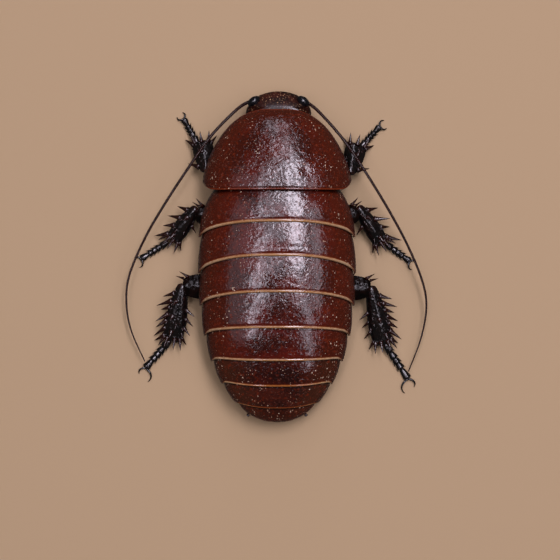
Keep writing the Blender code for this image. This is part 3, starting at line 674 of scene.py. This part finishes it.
# How far in front of the rear edge each row of points near it lies.
EDGE_ROWS = (0.0, 0.06, 0.13, 0.22, 0.32, 0.43, 0.55, 0.67, 0.78, 0.9, 1.02, 1.15, 1.3, 1.5, 1.7, 1.95, 2.3)
LINE_STEPS = 8
TAIL_ROWS = 44


def tail_width(y):
    return back_width(y) + 0.3 * math.sin(math.pi * min(max((y - 33.6) / 4.4, 0.0), 1.0))


def shield_width(y):
    ahead = min(max((SHIELD_WIDE_Y - y) / (SHIELD_WIDE_Y - SHIELD_FRONT_Y), 0.0), 1.0)
    return 17.0 * (1 - ahead ** 1.35) ** 0.38


def shield_rise(y):
    ahead = min(max((SHIELD_CREST_Y - y) / (SHIELD_CREST_Y - SHIELD_FRONT_Y), 0.0), 1.0)
    return 10.4 * (1 - ahead ** 2) ** 0.75


def shield_rim(y):
    ahead = max((SHIELD_WIDE_Y - y) / (SHIELD_WIDE_Y - SHIELD_FRONT_Y), 0.0)
    return BACK_RIM_Z + 1.6 * ahead ** 2


def plate_edge(centre_y, bow, corner):
    """The rear edge of a plate: its y at each share out to the side, where a corner is drawn out."""
    return lambda side: centre_y + bow * side ** 2.5 + corner * side ** 16


def lapped(before, rear):
    """The front edge of a plate, hidden under the one before it, and how deep it is tucked there."""
    def front(side):
        return before(side) - PLATE_OVERLAP
    return front, (PLATE_THICKNESS + PLATE_CLEARANCE) / (1 - PLATE_OVERLAP / (rear(0.0) - front(0.0)))


def distances(points, lines):
    """How far each point lies from the nearest point of these lines."""
    spots = [near.lerp(far, step / LINE_STEPS) for line in lines for near, far in zip(line, line[1:])
             for step in range(LINE_STEPS)]
    tree = KDTree(len(spots))
    for i, spot in enumerate(spots):
        tree.insert(spot, i)
    tree.balance()
    return [tree.find(point)[2] for point in points]


def plate_relief(point, edge, rim, band):
    """How far the polished surface stands out at a point, in millimetres."""
    roll = 0.07 * math.sin(math.pi * min(edge / band, 1.0)) - 0.26 * max(1 - edge / 0.3, 0.0) ** 2
    groove = -0.07 * math.exp(-((edge - band - 0.12) / 0.13) ** 2)
    groove -= 0.03 * math.exp(-((edge - 2.1) / 0.2) ** 2)
    lip = 0.09 * math.sin(math.pi * min(rim / 0.6, 1.0)) - 0.2 * max(1 - rim / 0.2, 0.0) ** 2
    waves = 0.08 * noise.noise(point * 0.13) + 0.016 * noise.noise(point * 0.5 + Vector((7, 3, 1)))
    return roll + groove + lip + waves * ease(0.3, 1.8, edge) * ease(0.2, 1.5, rim)


def plate(name, outline, front, rear, tuck, shares, material, band, columns=128):
    """A thin arched plate between two edges, its front sunk under the plate before it."""
    first, last = name == "mesonotum", name == "tergite_6"
    points, sides, leads = [], [], []
    for along in shares:
        for i in range(columns + 1):
            turn = math.pi * (i / columns - 0.5)
            side = abs(math.sin(turn))
            y = front(side) + (rear(side) - front(side)) * along
            sunk = tuck * (1 - along) + (0.4 * side ** 8 * (1 - along) ** 2 if tuck else 0.0)
            if first:
                sunk += 0.4 * (1 - along) ** 4
            if tuck and not last:
                sunk -= 0.13 * math.sin(math.pi * along)
            width, rise, rim = (measure(y) for measure in outline)
            across, up = arch(turn)
            points.append(Vector(((width - sunk) * across, y, rim + (rise - sunk) * up)))
            sides.append(side)
            leads.append((y - front(side) - PLATE_OVERLAP) * (1 if first else 2) if tuck else NOT_LAPPED)
    row = columns + 1
    faces = [(a, a + 1, a + row + 1, a + row)
             for start in range(0, (len(shares) - 1) * row, row) for a in range(start, start + columns)]
    rims = distances(points, [points[i::row] for i in (0, columns)] + ([] if tuck else [points[:row]]))
    edges = rims if last else distances(points, [points[-row:]])
    edges = [edge * (1 + 0.9 * ease(0.88, 1.0, side)) for edge, side in zip(edges, sides)]
    made = surface_object(name + "_plate", points, faces, material,
                          edge=edges, rim=rims, side=sides, lead=leads)
    remade(made, lambda body: bmesh.ops.remove_doubles(body, verts=body.verts, dist=0.01 * MM))
    mesh = made.data
    normals = [normal.vector.copy() for normal in mesh.vertex_normals]
    marks = (mesh.attributes[key].data for key in ("edge", "rim"))
    for vertex, normal, edge, rim in zip(mesh.vertices, normals, *marks):
        vertex.co += normal * plate_relief(vertex.co / MM, edge.value, rim.value, band) * MM
    wall = made.modifiers.new("thickness", "SOLIDIFY")
    wall.thickness = PLATE_THICKNESS * MM
    wall.offset = -1.0
    wears(made, "shield_shell" if "notum" in name else "back_shell", name)
    return made


def rows_between(front, rear):
    """Shares from front to rear edge, close together at the rear where the band is."""
    length = rear(0.0) - front(0.0)
    shares = [1 - step / length for step in EDGE_ROWS]
    plain = int((length - EDGE_ROWS[-1]) / 0.4)
    return [shares[-1] * i / plain for i in range(plain)] + shares[::-1]


def polished_shell(name, dark, red, flank, band_middle, band_side, edge_red, band, dusty=0.0, deep=0.04):
    """Hard mahogany cuticle under a thin clear layer, with its rear band, its dents and the dust in them."""
    material, tree, shader, place = cuticle(name, ior=1.6, coat_weight=0.15, coat_roughness=0.08)
    edge, rim, side, lead = (node(tree, "Attribute", out="Fac", attribute_name=key)
                             for key in ("edge", "rim", "side", "lead"))
    cloud, mottle, flecks, painted_glints, ragged = (
        node(tree, "TexNoise", {"Vector": place, "Scale": scale, "Detail": detail})
        for scale, detail in ((0.14, 6.0), (1.6, 4.0), (1.5, 2.0), (2.8, 1.0), (5.0, 1.0)))
    lively = node(tree, "MapRange", {0: side, 1: 0.2, 2: 0.65, 3: 0.55, 4: 0.95})
    wobble = node(tree, "Math", {0: mottle, 1: 0.16, 2: edge}, operation="MULTIPLY_ADD")
    # Red clouds 7 mm wide, dark speckle, browner flanks and rim that are partly their own colour and partly a
    # painted reflection of the floor, flecks, pale specks painted in as glints of light, painted shade where
    # the plate comes out from under the one before it, and a glow and an orange line along the band.
    colour = tinted(tree, dark, (
        (cloud, 0.42, 0.6, 1.0, red), (mottle, 0.52, 0.66, lively, "#220806"), (side, 0.3, 0.8, 0.8, flank),
        (rim, 6.0, 1.5, 0.8, "#4a1a09"), (flecks, 0.55, 0.7, lively, "#6e260f"),
        (painted_glints, 0.64, 0.72, 0.32, "#9c6250"), (lead, 0.9, 0.1, 0.7, "#120504", "SMOOTHSTEP"),
        (edge, band * 3.2, band, 0.55, "#561608", "SMOOTHSTEP"),
        (wobble, band + 0.34, band + 0.22, 0.75, edge_red)))
    strip = tinted(tree, band_middle, ((side, 0.45, 0.8, 1.0, band_side), (mottle, 0.4, 0.7, 0.4, edge_red)))
    in_band = node(tree, "MapRange", {0: wobble, 1: band + 0.13, 2: band + 0.03})
    ends = node(tree, "MapRange", {0: side, 1: 0.9, 2: 0.97, 3: 1.0, 4: 0.15})
    in_band = node(tree, "Math", {0: in_band, 1: ends}, operation="MULTIPLY")
    # Dust in the dents: pale ragged grains about 0.15 mm across, thicker toward the sides.
    grains = node(tree, "TexVoronoi", {"Vector": place, "Scale": 2.3}, None)
    chosen = node(tree, "SeparateColor", {0: grains["Color"]}, None)
    drift = node(tree, "TexNoise", {"Vector": place, "Scale": 0.32, "Detail": 3.0, "W": 3.0},
                 noise_dimensions="4D")
    drift = node(tree, "Math", {0: side, 1: 0.12, 2: drift}, operation="MULTIPLY_ADD")
    drift = node(tree, "MapRange", {0: drift, 1: 0.5 - dusty, 2: 0.72 - dusty, 4: 0.7})
    extent = node(tree, "Math", {0: ragged, 1: drift}, operation="MULTIPLY")
    few = node(tree, "Math", {0: chosen[0], 1: 0.77}, operation="GREATER_THAN")
    small = node(tree, "Math", {0: grains["Distance"], 1: extent}, operation="LESS_THAN")
    dust = node(tree, "Math", {0: few, 1: small}, operation="MULTIPLY")
    grain = tinted(tree, "#9a6a48", ((chosen[1], 0.0, 1.0, 1.0, "#e2cdb2"),))
    colour = tinted(tree, colour, ((in_band, 0.0, 1.0, 1.0, strip), (rim, 0.9, 0.45, 0.75, edge_red),
                                   (dust, 0.0, 1.0, 1.0, grain)))
    # Round pits 0.7 mm apart and uneven wrinkles break up the gloss, and soil dulls the winding grooves.
    wind = node(tree, "TexNoise", {"Vector": place, "Scale": 1.15, "Detail": 1.0, "Distortion": 1.2})
    wind = node(tree, "Math", {0: wind, 1: 0.5}, operation="SUBTRACT")
    wind = node(tree, "Math", {0: wind}, operation="ABSOLUTE")
    groove = node(tree, "MapRange", {0: wind, 1: 0.05, 2: 0.02, 4: 0.16})
    pits = node(tree, "TexVoronoi", {"Vector": place, "Scale": 1.4})
    pits = node(tree, "MapRange", {0: pits, 1: 0.05, 2: 0.32}, interpolation_type="SMOOTHSTEP")
    wrinkle = node(tree, "TexNoise", {"Vector": place, "Scale": 0.85, "Detail": 2.0, "Distortion": 0.8})
    relief = node(tree, "Math", {0: wrinkle, 1: 2.6, 2: pits}, operation="MULTIPLY_ADD")
    off_band = node(tree, "MapRange", {0: edge, 1: band, 2: band + 0.6, 3: 0.1})
    relief = node(tree, "Math", {0: relief, 1: off_band}, operation="MULTIPLY")
    rough = node(tree, "MapRange", {0: mottle, 1: 0.3, 2: 0.7, 3: 0.07, 4: 0.13})
    dull = node(tree, "MapRange", {0: side, 1: 0.8, 2: 0.98, 4: 0.18})
    rough = node(tree, "Math", {0: rough, 1: dull}, operation="ADD")
    for pattern, much in ((groove, off_band), (dust, 0.5)):
        rough = node(tree, "Math", {0: pattern, 1: much, 2: rough}, operation="MULTIPLY_ADD")
    dressed(tree, shader, colour, relief, 0.95, deep, rough)
    return material


# The flank colour of each shell is partly the cuticle's own browner side and partly a painted reflection of
# the floor, which the shell doesn't mirror.
back_shell = polished_shell("polished_back_cuticle", "#330b06", "#5c130a", "#501b0a", "#b98a58", "#c2a27c",
                            "#84401a", 0.55)
rear_shell = polished_shell("polished_rear_cuticle", "#260805", "#420e08", "#4a2413", "#b07034", "#c4a276",
                            "#84401a", 0.44, 0.08)
tail_shell = polished_shell("polished_tail_cuticle", "#2c0c07", "#46180e", "#4c2a18", "#8e5226", "#b8885a",
                            "#7a3414", 0.28, 0.08)
PLATE_SHELLS = {"tergite_4": (rear_shell, 0.44), "tergite_5": (tail_shell, 0.28)}
before = plate_edge(SHIELD_REAR_Y, 0.0, 0.0)
for name, (centre_y, bow) in PLATE_EDGES.items():
    rear = plate_edge(centre_y, bow, 0.0 if name == "tergite_5" else 0.9)
    front, tuck = lapped(before, rear)
    shell, band = PLATE_SHELLS.get(name, (back_shell, 0.55))
    plate(name, (back_width, back_rise, back_rim), front, rear, tuck, rows_between(front, rear), shell, band)
    before = rear
rear = plate_edge(TAIL_Y, 0.0, 0.0)
front, tuck = lapped(before, rear)
tail_rows = [1 - (1 - i / TAIL_ROWS) ** 1.9 for i in range(TAIL_ROWS + 1)]
plate("tergite_6", (tail_width, back_rise, back_rim), front, rear, tuck, tail_rows, tail_shell, 0.2)

# The shield: the great domed plate over the neck, which covers the back of the head. It is the same polished
# cuticle, a little redder, with a thin upturned rim in front, a fine orange rear edge and a dimple each side.
SHIELD_LENGTH = 18.9
SHIELD_ROWS = 64
# Each dimple: where it is, and how deep.
DIMPLES = ((-6.4, -19.4, 0.16), (6.2, -19.6, 0.07), (0.0, -30.5, 0.12))

shield_shell = polished_shell("polished_shield_cuticle", "#370e07", "#5c180c", "#501b0a", "#7e3016",
                              "#7e3016", "#7e3214", 0.16, deep=0.06)
shares = {(i / SHIELD_ROWS) ** 1.8 for i in range(3, SHIELD_ROWS + 1)}
shares |= {1 - step / SHIELD_LENGTH for step in EDGE_ROWS}
shares = sorted({round(share, 5) for share in shares})
shield = plate("pronotum", (shield_width, shield_rise, shield_rim), plate_edge(SHIELD_FRONT_Y, 0.0, 0.0),
               plate_edge(SHIELD_REAR_Y, 0.0, -2.1), 0.0, shares, shield_shell, 0.25, 150)
for x, y, deep in DIMPLES:
    for vertex in shield.data.vertices:
        reach = math.hypot(vertex.co.x / MM - x, (vertex.co.y / MM - y) * 0.8)
        vertex.co.z -= deep * math.exp(-(reach / 1.1) ** 2) * MM

# The head: a hard flattened capsule bent down under the shield, dark red-brown and
# pitted, with its mouth below. It is one closed skin through level rings, with sockets
# for the feelers and a seam above the upper lip.
HEAD_X = -0.35
# Each level of the head: its height, the y of its middle, its half width and its half depth.
HEAD_LEVELS = ((8.12, -32.9, 2.4, 0.7), (8.05, -32.9, 4.4, 1.35), (7.85, -32.9, 5.4, 2.0),
               (7.3, -32.9, 6.3, 2.85), (6.4, -32.9, 7.0, 3.9), (5.4, -32.9, 7.45, 4.85),
               (4.4, -32.9, 7.4, 5.25), (3.2, -32.7, 5.8, 4.2), (2.3, -32.4, 3.8, 2.6), (1.8, -32.1, 2.0, 1.4))
HEAD_RINGS = 60
HEAD_SIDES = 96
HEAD_BACK_DEPTH = 2.2
LIP_SEAM_Z = 3.1
FEELER_SOCKET = (5.0, -36.3, 4.6)

head_shell, tree, shader, place = cuticle("pitted_head_cuticle", ior=1.44)
# Hard glossy cuticle, red-brown with darker clouds, pitted 0.4 mm apart and sprinkled with pale orange
# flecks. Where it slides under the shield it is smoother and darker.
cloud = node(tree, "TexNoise", {"Vector": place, "Scale": 0.5, "Detail": 4.0})
pits = node(tree, "TexVoronoi", {"Vector": place, "Scale": 2.2})
flecks = node(tree, "TexNoise", {"Vector": place, "Scale": 2.9, "Detail": 1.0})
_, back, _ = node(tree, "SeparateXYZ", {0: place}, None)
shade = tinted(tree, "#240c07", (
    (cloud, 0.38, 0.62, 1.0, "#481a0d"), (flecks, 0.46, 0.36, 0.7, "#150605"),
    (flecks, 0.66, 0.71, 0.9, "#d6ac80"), (back, -35.6, -34.2, 0.55, "#140806")))
relief = node(tree, "Math", {0: flecks, 1: 0.8, 2: pits}, operation="MULTIPLY_ADD")
uneven = node(tree, "MapRange", {0: back, 1: -34.55, 2: -34.15, 3: 1.0, 4: 0.12})
relief = node(tree, "Math", {0: relief, 1: uneven}, operation="MULTIPLY")
rough = node(tree, "MapRange", {0: back, 1: -34.6, 2: -34.1, 3: 0.42, 4: 0.14})
dressed(tree, shader, shade, relief, 0.8, 0.06, rough)

rings = []
levels = [Vector(level) for level in HEAD_LEVELS]
for step in range(HEAD_RINGS + 1):
    z, y, wide, deep = spline(levels, step / HEAD_RINGS)
    ring = []
    for i in range(HEAD_SIDES):
        turn = 2 * math.pi * i / HEAD_SIDES
        reach = deep if math.sin(turn) < 0 else min(deep, HEAD_BACK_DEPTH)
        point = Vector((HEAD_X + wide * math.cos(turn), y + reach * math.sin(turn), z))
        outward = Vector((math.cos(turn) * deep, math.sin(turn) * wide, 0.0)).normalized()
        sunk = 0.12 * math.exp(-((z - LIP_SEAM_Z) / 0.14) ** 2) * ease(0.0, 0.8, -outward.y)
        for side in (1, -1):
            x, *yz = FEELER_SOCKET
            reach = (point - Vector((HEAD_X + side * x, *yz))).length
            sunk += 0.35 * math.exp(-(reach / 0.75) ** 2) - 0.15 * math.exp(-((reach - 1.1) / 0.22) ** 2)
        ring.append(point - outward * sunk)
    rings.append(ring)
wears(faces_out(surface_object("head_capsule", *wrapped(rings), head_shell)), "head_shell", "head")

# The eyes: smooth black ovals of very many tiny lenses, slanting inwards and forwards round the roots of
# the feelers. The lenses, 0.03 mm wide in life, are drawn 0.12 mm wide so that they show at all.
EYE_CENTRE = (5.65, -35.7, 6.1)
EYE_RADII = (1.62, 1.08, 1.65)
EYE_SLANT = 0.62

lens_black, tree, shader, place = cuticle("black_eye_lenses", roughness=0.22, ior=1.55, coat_weight=0.6)
# Clear cuticle over black, which gives a wet blue-black shine broken up by a fine net.
shader.inputs["Base Color"].default_value = hex_colour("#0c0f14")
lenses = node(tree, "TexVoronoi", {"Vector": place, "Scale": 8.0, "Randomness": 0.15})
dressed(tree, shader, None, lenses, 0.12, 0.03, invert=True)


def beside_head(side, places):
    """Places on one side of the head, from those on the animal's left."""
    return [Vector((HEAD_X + side * x, y, z)) for x, y, z in places]


def ball(name, centre, radii, material, slant=0.0, segments=40, rings=26):
    """A rounded piece, slanted about the upright."""
    turned = Matrix.Rotation(slant, 3, "Z")
    loops = []
    for ring in range(1, rings):
        lift = math.pi * ring / rings
        turns = [2 * math.pi * i / segments for i in range(segments)]
        loops.append([centre + turned @ Vector((radii[0] * math.sin(lift) * math.cos(turn),
                                                radii[1] * math.sin(lift) * math.sin(turn),
                                                radii[2] * math.cos(lift))) for turn in turns])
    return faces_out(surface_object(name, *wrapped(loops), material))


for side, name in ((1, "left"), (-1, "right")):
    centre, = beside_head(side, [EYE_CENTRE])
    wears(ball(f"eye_{name}_lens", centre, EYE_RADII, lens_black, side * EYE_SLANT), "eye", f"eye_{name}")

# The mouth parts under the head: the flap of the upper lip, a pair of black-tipped jaws, the lower lip, and
# a jointed feeler each side that tastes the ground. They are thinner cuticle, red-brown and satin.
JAW_LINE = ((2.9, -33.6, 2.9), (2.6, -34.0, 1.9), (0.9, -34.2, 1.0))
PALP_LINE = ((3.2, -32.6, 2.6), (4.6, -33.6, 1.9), (4.6, -35.4, 2.2), (3.5, -36.6, 1.2))
PALP_JOINTS = ((0.0, 0.3, 0.42), (0.3, 0.64, 0.5), (0.64, 1.0, 0.52))

lip_brown, tree, shader, place = cuticle("satin_mouth_cuticle", roughness=0.4, ior=1.54)
# Thin flexible cuticle with a soft sheen, clouded dark and red-brown about 0.8 mm apart.
cloud = node(tree, "TexNoise", {"Vector": place, "Scale": 1.3, "Detail": 4.0})
dressed(tree, shader, tinted(tree, "#2a120b", ((cloud, 0.0, 1.0, 1.0, "#7a3a20"),)), cloud, 0.4, 0.08)

for name, y, z, radii, solid in (("upper_lip", -35.2, 2.1, (2.0, 0.8, 1.35), "labrum"),
                                 ("lower_lip", -31.9, 1.7, (2.3, 1.3, 1.0), "labium")):
    wears(ball(name, Vector((HEAD_X, y, z)), radii, lip_brown), "mouth_parts", solid)
for side, name in ((1, "left"), (-1, "right")):
    stations = rounded((0.9, 1.0, 0.5), (1.1, 1.1, 0.5), 20, 4)
    jaw = limb(f"jaw_{name}", beside_head(side, JAW_LINE), stations, black_shell)
    wears(jaw, "mouth_parts", f"mandible_{name}")
    path = beside_head(side, PALP_LINE)
    pieces = []
    for near, far, thick in PALP_JOINTS:
        stations = bead(near, far, 12, thick, 6, 0.5, 0.05, slim=(0.7, 0.3, 0.1))
        pieces.append(limb("palp_joint", path, stations, lip_brown, 16))
    wears(joined(f"palp_{name}", pieces), "mouth_parts", f"maxillary_palp_{name}")

# The feelers: whips of more than a hundred short rings, thick at the root and
# thinning to the tip, swept back past the hind legs. One node tree threads a
# ring on each step of the line; two stout joints hold it to the head.
FEELER_LINES = {
    "left": ((4.9, -35.6, 4.1), (6.9, -35.5, 5.0), (9.9, -33.2, 6.6), (15.3, -27.4, 8.0), (20.4, -20.2, 8.0),
             (25.7, -12.2, 7.2), (30.4, -4.3, 5.8), (34.1, 4.2, 4.6), (34.9, 10.5, 3.8), (33.9, 17.0, 3.1),
             (30.9, 24.0, 2.5)),
    "right": ((-4.9, -35.6, 4.1), (-6.9, -35.5, 5.0), (-9.9, -33.0, 6.6), (-15.2, -26.8, 8.0),
              (-20.2, -19.5, 8.0), (-25.6, -10.8, 7.0), (-30.3, -2.2, 5.6), (-33.7, 6.0, 4.5),
              (-34.6, 12.0, 3.7), (-33.4, 19.0, 3.0), (-30.7, 26.3, 2.5)),
}
FEELER_RADII = (0.45, 0.38, 0.34, 0.31, 0.28, 0.23, 0.15)
FEELER_STEPS = 220
RING_LENGTH = 0.42
RING_WAIST = 0.9

feeler_brown, tree, shader, place = cuticle("ringed_feeler_cuticle", roughness=0.14, ior=1.5)
# Glossy dark brown cuticle, so thin that it is a little redder in places about 1 mm long.
cloud = node(tree, "TexNoise", {"Vector": place, "Scale": 1.0, "Detail": 3.0})
dressed(tree, shader, tinted(tree, "#0e0505", ((cloud, 0.0, 1.0, 1.0, "#38150d"),)))

ring_tree, given, result = growth_tree("rings_on_a_line", Ring_Length="Float", Waist="Float",
                                       Material="Material")
line = node(ring_tree, "GeometryNodeMeshToCurve", {"Mesh": given["Geometry"]})
line = node(ring_tree, "GeometryNodeResampleCurve", {"Curve": line, "Length": given["Ring Length"]},
            mode="LENGTH")
tangent = node(ring_tree, "GeometryNodeInputTangent")
turned = node(ring_tree, "FunctionNodeAlignRotationToVector", {"Vector": tangent}, axis="Z")
rod, x, y, z = unit_rod(ring_tree, 12, 4)
swell = node(ring_tree, "Math", {0: z, 1: math.pi}, operation="MULTIPLY")
swell = node(ring_tree, "Math", {0: swell}, operation="SINE")
swell = node(ring_tree, "MapRange", {0: swell, 3: given["Waist"], 4: 1.0})
wide = [node(ring_tree, "Math", {0: axis, 1: swell}, operation="MULTIPLY") for axis in (x, y)]
shape = node(ring_tree, "CombineXYZ", {0: wide[0], 1: wide[1], 2: z})
one = node(ring_tree, "GeometryNodeSetPosition", {"Geometry": rod, "Position": shape})
girth = node(ring_tree, "GeometryNodeInputNamedAttribute", {"Name": "girth"}, data_type="FLOAT")
step = node(ring_tree, "Math", {0: given["Ring Length"], 1: 1.08}, operation="MULTIPLY")
size = node(ring_tree, "CombineXYZ", {0: girth, 1: girth, 2: step})
ring_tree.links.new(planted(ring_tree, line, one, turned, size, given["Material"]), result["Geometry"])

for name, line in FEELER_LINES.items():
    path = [Vector(point) for point in line]
    shares = [0.045 + 0.955 * i / FEELER_STEPS for i in range(FEELER_STEPS + 1)]
    steps = [(i, i + 1) for i in range(FEELER_STEPS)]
    mesh = marked_mesh("feeler", [spline(path, share) for share in shares], steps, [],
                       girth=[spline(FEELER_RADII, share) * MM for share in shares])
    whip = faces_out(grown(placed("feeler", mesh), ring_tree, Ring_Length=RING_LENGTH * MM, Waist=RING_WAIST,
                           Material=feeler_brown))
    root = limb("root", path, bead(0.01, 0.04, 12, 0.54, 5, 0.4, more=0.05), feeler_brown, 20)
    collar = limb("collar", path, bead(0.038, 0.052, 10, 0.42, 4, 0.4, more=0.05), feeler_brown, 20)
    solids = (f"antenna_{name}_{part}" for part in ("base", "middle", "outer", "tip"))
    wears(joined(f"feeler_{name}", [whip, root, collar]), "antenna", *solids)

# The tail feelers: two short tapered stubs of a few joints, of the same cuticle as the long feelers. They
# grow from the end of the belly, just clear of the last plate on each side.
STUB_JOINTS = ((0.3, 0.56, 0.6), (0.54, 0.78, 0.52), (0.76, 1.0, 0.36))

for side, name in ((1, "left"), (-1, "right")):
    path = [Vector((side * x, y, z)) for x, y, z in ((4.4, 34.0, 4.5), (5.8, 35.5, 4.2), (6.9, 37.0, 4.3))]
    pieces = [limb("stub_joint", path, bead(near, far, 10, thick, 5, 0.45, 0.04, flat=0.75), feeler_brown, 18)
              for near, far, thick in STUB_JOINTS]
    wears(joined(f"tail_feeler_{name}", pieces), "body_shell", f"cercus_{name}")

# The bristles: stiff brown hairs along the shins, thick under the feet, and a few on the thighs. They lean
# to the far end of each limb. One node tree scatters them over the limb's skin and keeps only the hairs.
bristle_brown, tree, shader, place = cuticle("brown_bristle", roughness=0.4, ior=1.55)
# Solid fine hairs with a soft shine, some nearly black and some brown.
cloud = node(tree, "TexNoise", {"Vector": place, "Scale": 0.7, "Detail": 2.0})
dressed(tree, shader, tinted(tree, "#160d09", ((cloud, 0.0, 1.0, 1.0, "#4a2614"),)))

bristle_tree, given, result = growth_tree(
    "bristles_on_a_limb", Per_Square_Metre="Float", Length="Float", Thickness="Float", Far_End="Vector",
    Lean="Float", Seed="Int", Material="Material")
spots = node(bristle_tree, "GeometryNodeDistributePointsOnFaces", {
    "Mesh": given["Geometry"], "Density": given["Per Square Metre"], "Seed": given["Seed"]}, None)
toward = node(bristle_tree, "VectorMath", {0: given["Far End"], "Scale": given["Lean"]}, operation="SCALE")
shiver = node(bristle_tree, "FunctionNodeRandomValue",
              {"Min": (-0.25, -0.25, -0.25), "Max": (0.25, 0.25, 0.25)}, data_type="FLOAT_VECTOR")
aim = spots["Normal"]
for shift in (toward, shiver):
    aim = node(bristle_tree, "VectorMath", {0: aim, 1: shift}, operation="ADD")
uneven = node(bristle_tree, "FunctionNodeRandomValue", {2: 0.6, 3: 1.2}, 1, data_type="FLOAT")
reach = node(bristle_tree, "Math", {0: given["Length"], 1: uneven}, operation="MULTIPLY")
hairs = spike_nodes(bristle_tree, spots["Points"], aim, given["Far End"], reach, given["Thickness"],
                    4, 3, 4.0, given["Material"])
bristle_tree.links.new(hairs, result["Geometry"])

hairs = []
for number, (name, leg, sizes) in enumerate(LEGS):
    wide = sizes["foot"]
    heel, toe = joint(leg, "heel", 1.6), joint(leg, "toe", TOE_Z + 0.1)
    foot = [heel, heel.lerp(toe, 0.5) - UP * (0.4 * wide), toe]
    for path, widths, depths, density, length in (
            (*shin_shape(leg, sizes), 0.7e6, 0.55), (*thigh_shape(leg, sizes), 0.25e6, 0.5),
            (foot, (wide * 0.85,) * 3, (wide * 0.7,) * 3, 2.0e6, 0.4)):
        stations = [(share, spline(widths, share) * 0.97, spline(depths, share) * 0.97)
                    for share in (0.1 + 0.085 * i for i in range(11))]
        base = limb("hair_base", path, stations, bristle_brown, 20)
        hairs.append(grown(base, bristle_tree, Per_Square_Metre=density, Length=length * MM,
                           Thickness=0.03 * MM, Far_End=(path[-1] - path[0]).normalized(), Lean=1.1,
                           Seed=number * 3 + len(hairs), Material=bristle_brown))
bristles = faces_out(off_floor(joined("leg_bristles", hairs)))
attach(bristles, "root")

# The floor: a plain board that the animal stands on. Its polished shell doesn't mirror it.
matt_board, tree, shader, place = cuticle("matt_pale_board", roughness=0.9)
# Matt sand-coloured paint, which shows nothing but the animal's soft shadow.
shader.inputs["Base Color"].default_value = hex_colour("#c6ab85")
corners = [Vector((x, y, 0.0)) for x, y in ((-1500, -1500), (1500, -1500), (1500, 1500), (-1500, 1500))]
board = marked_mesh("floor", corners, [], [(0, 1, 2, 3)])
board.materials.append(matt_board)
floor = placed("floor", board)
floor.visible_glossy = False

# The light: two long soft boxes on the animal's right, one of them over its rear, and a smaller one on its
# left, with a dim card farther out on each side and one over the middle, two boxes far in front that light
# the slope of the shield, and a dim pale room.
# Each lamp: its place in metres, width, length, turn about the line to the animal in degrees, and power.
LAMPS = {
    "right_box": ((-0.21, -0.33, 1.0), 0.24, 0.5, 4, 4.95),
    "right_rear_box": ((-0.37, 0.2, 0.95), 0.11, 0.7, 30, 1.0),
    "right_card": ((-0.62, -0.12, 1.0), 0.24, 0.5, 0, 0.9),
    "left_box": ((0.23, 0.04, 1.0), 0.11, 0.5, -24, 1.35),
    "left_card": ((0.62, -0.05, 1.0), 0.5, 0.9, -10, 0.75),
    "middle_card": ((0.08, -0.3, 1.0), 0.28, 0.4, 0, 0.7),
    "head_box": ((-0.09, -0.95, 0.95), 0.15, 0.5, 0, 1.7),
    "far_box": ((0.03, -1.75, 0.62), 0.22, 0.5, 0, 1.4),
}
world = bpy.data.worlds.new("pale_room")
bpy.context.scene.world = world
bpy.context.scene.view_settings.view_transform = "Standard"
world.use_nodes = True
room = world.node_tree.nodes["Background"].inputs
room["Color"].default_value = hex_colour("#ece2d6")
room["Strength"].default_value = 0.06
for name, (place, across, along, turn, power) in LAMPS.items():
    lamp = bpy.data.lights.new(name, "AREA")
    lamp.shape = "RECTANGLE"
    lamp.size = across
    lamp.size_y = along
    lamp.energy = power
    lamp.color = hex_colour("#f6ecfc")[:3]
    box = placed(name, lamp)
    box.location = place
    back = Vector(place).normalized()
    length = Vector((-math.sin(math.radians(turn)), math.cos(math.radians(turn)), 0.0))
    length = (length - back * length.dot(back)).normalized()
    box.rotation_euler = Matrix((length.cross(back), length, back)).transposed().to_euler()

# The camera: straight above the animal, with its head to the top of the picture and at the photo's scale.
lens = bpy.data.cameras.new("camera")
lens.sensor_width = 36.0
lens.lens = 123.8
lens.clip_start = 0.01
camera = placed("camera", lens)
camera.location = (-0.69 * MM, 5.46 * MM, 0.45)
camera.rotation_euler = (0.0, 0.0, math.pi)
bpy.context.scene.camera = camera
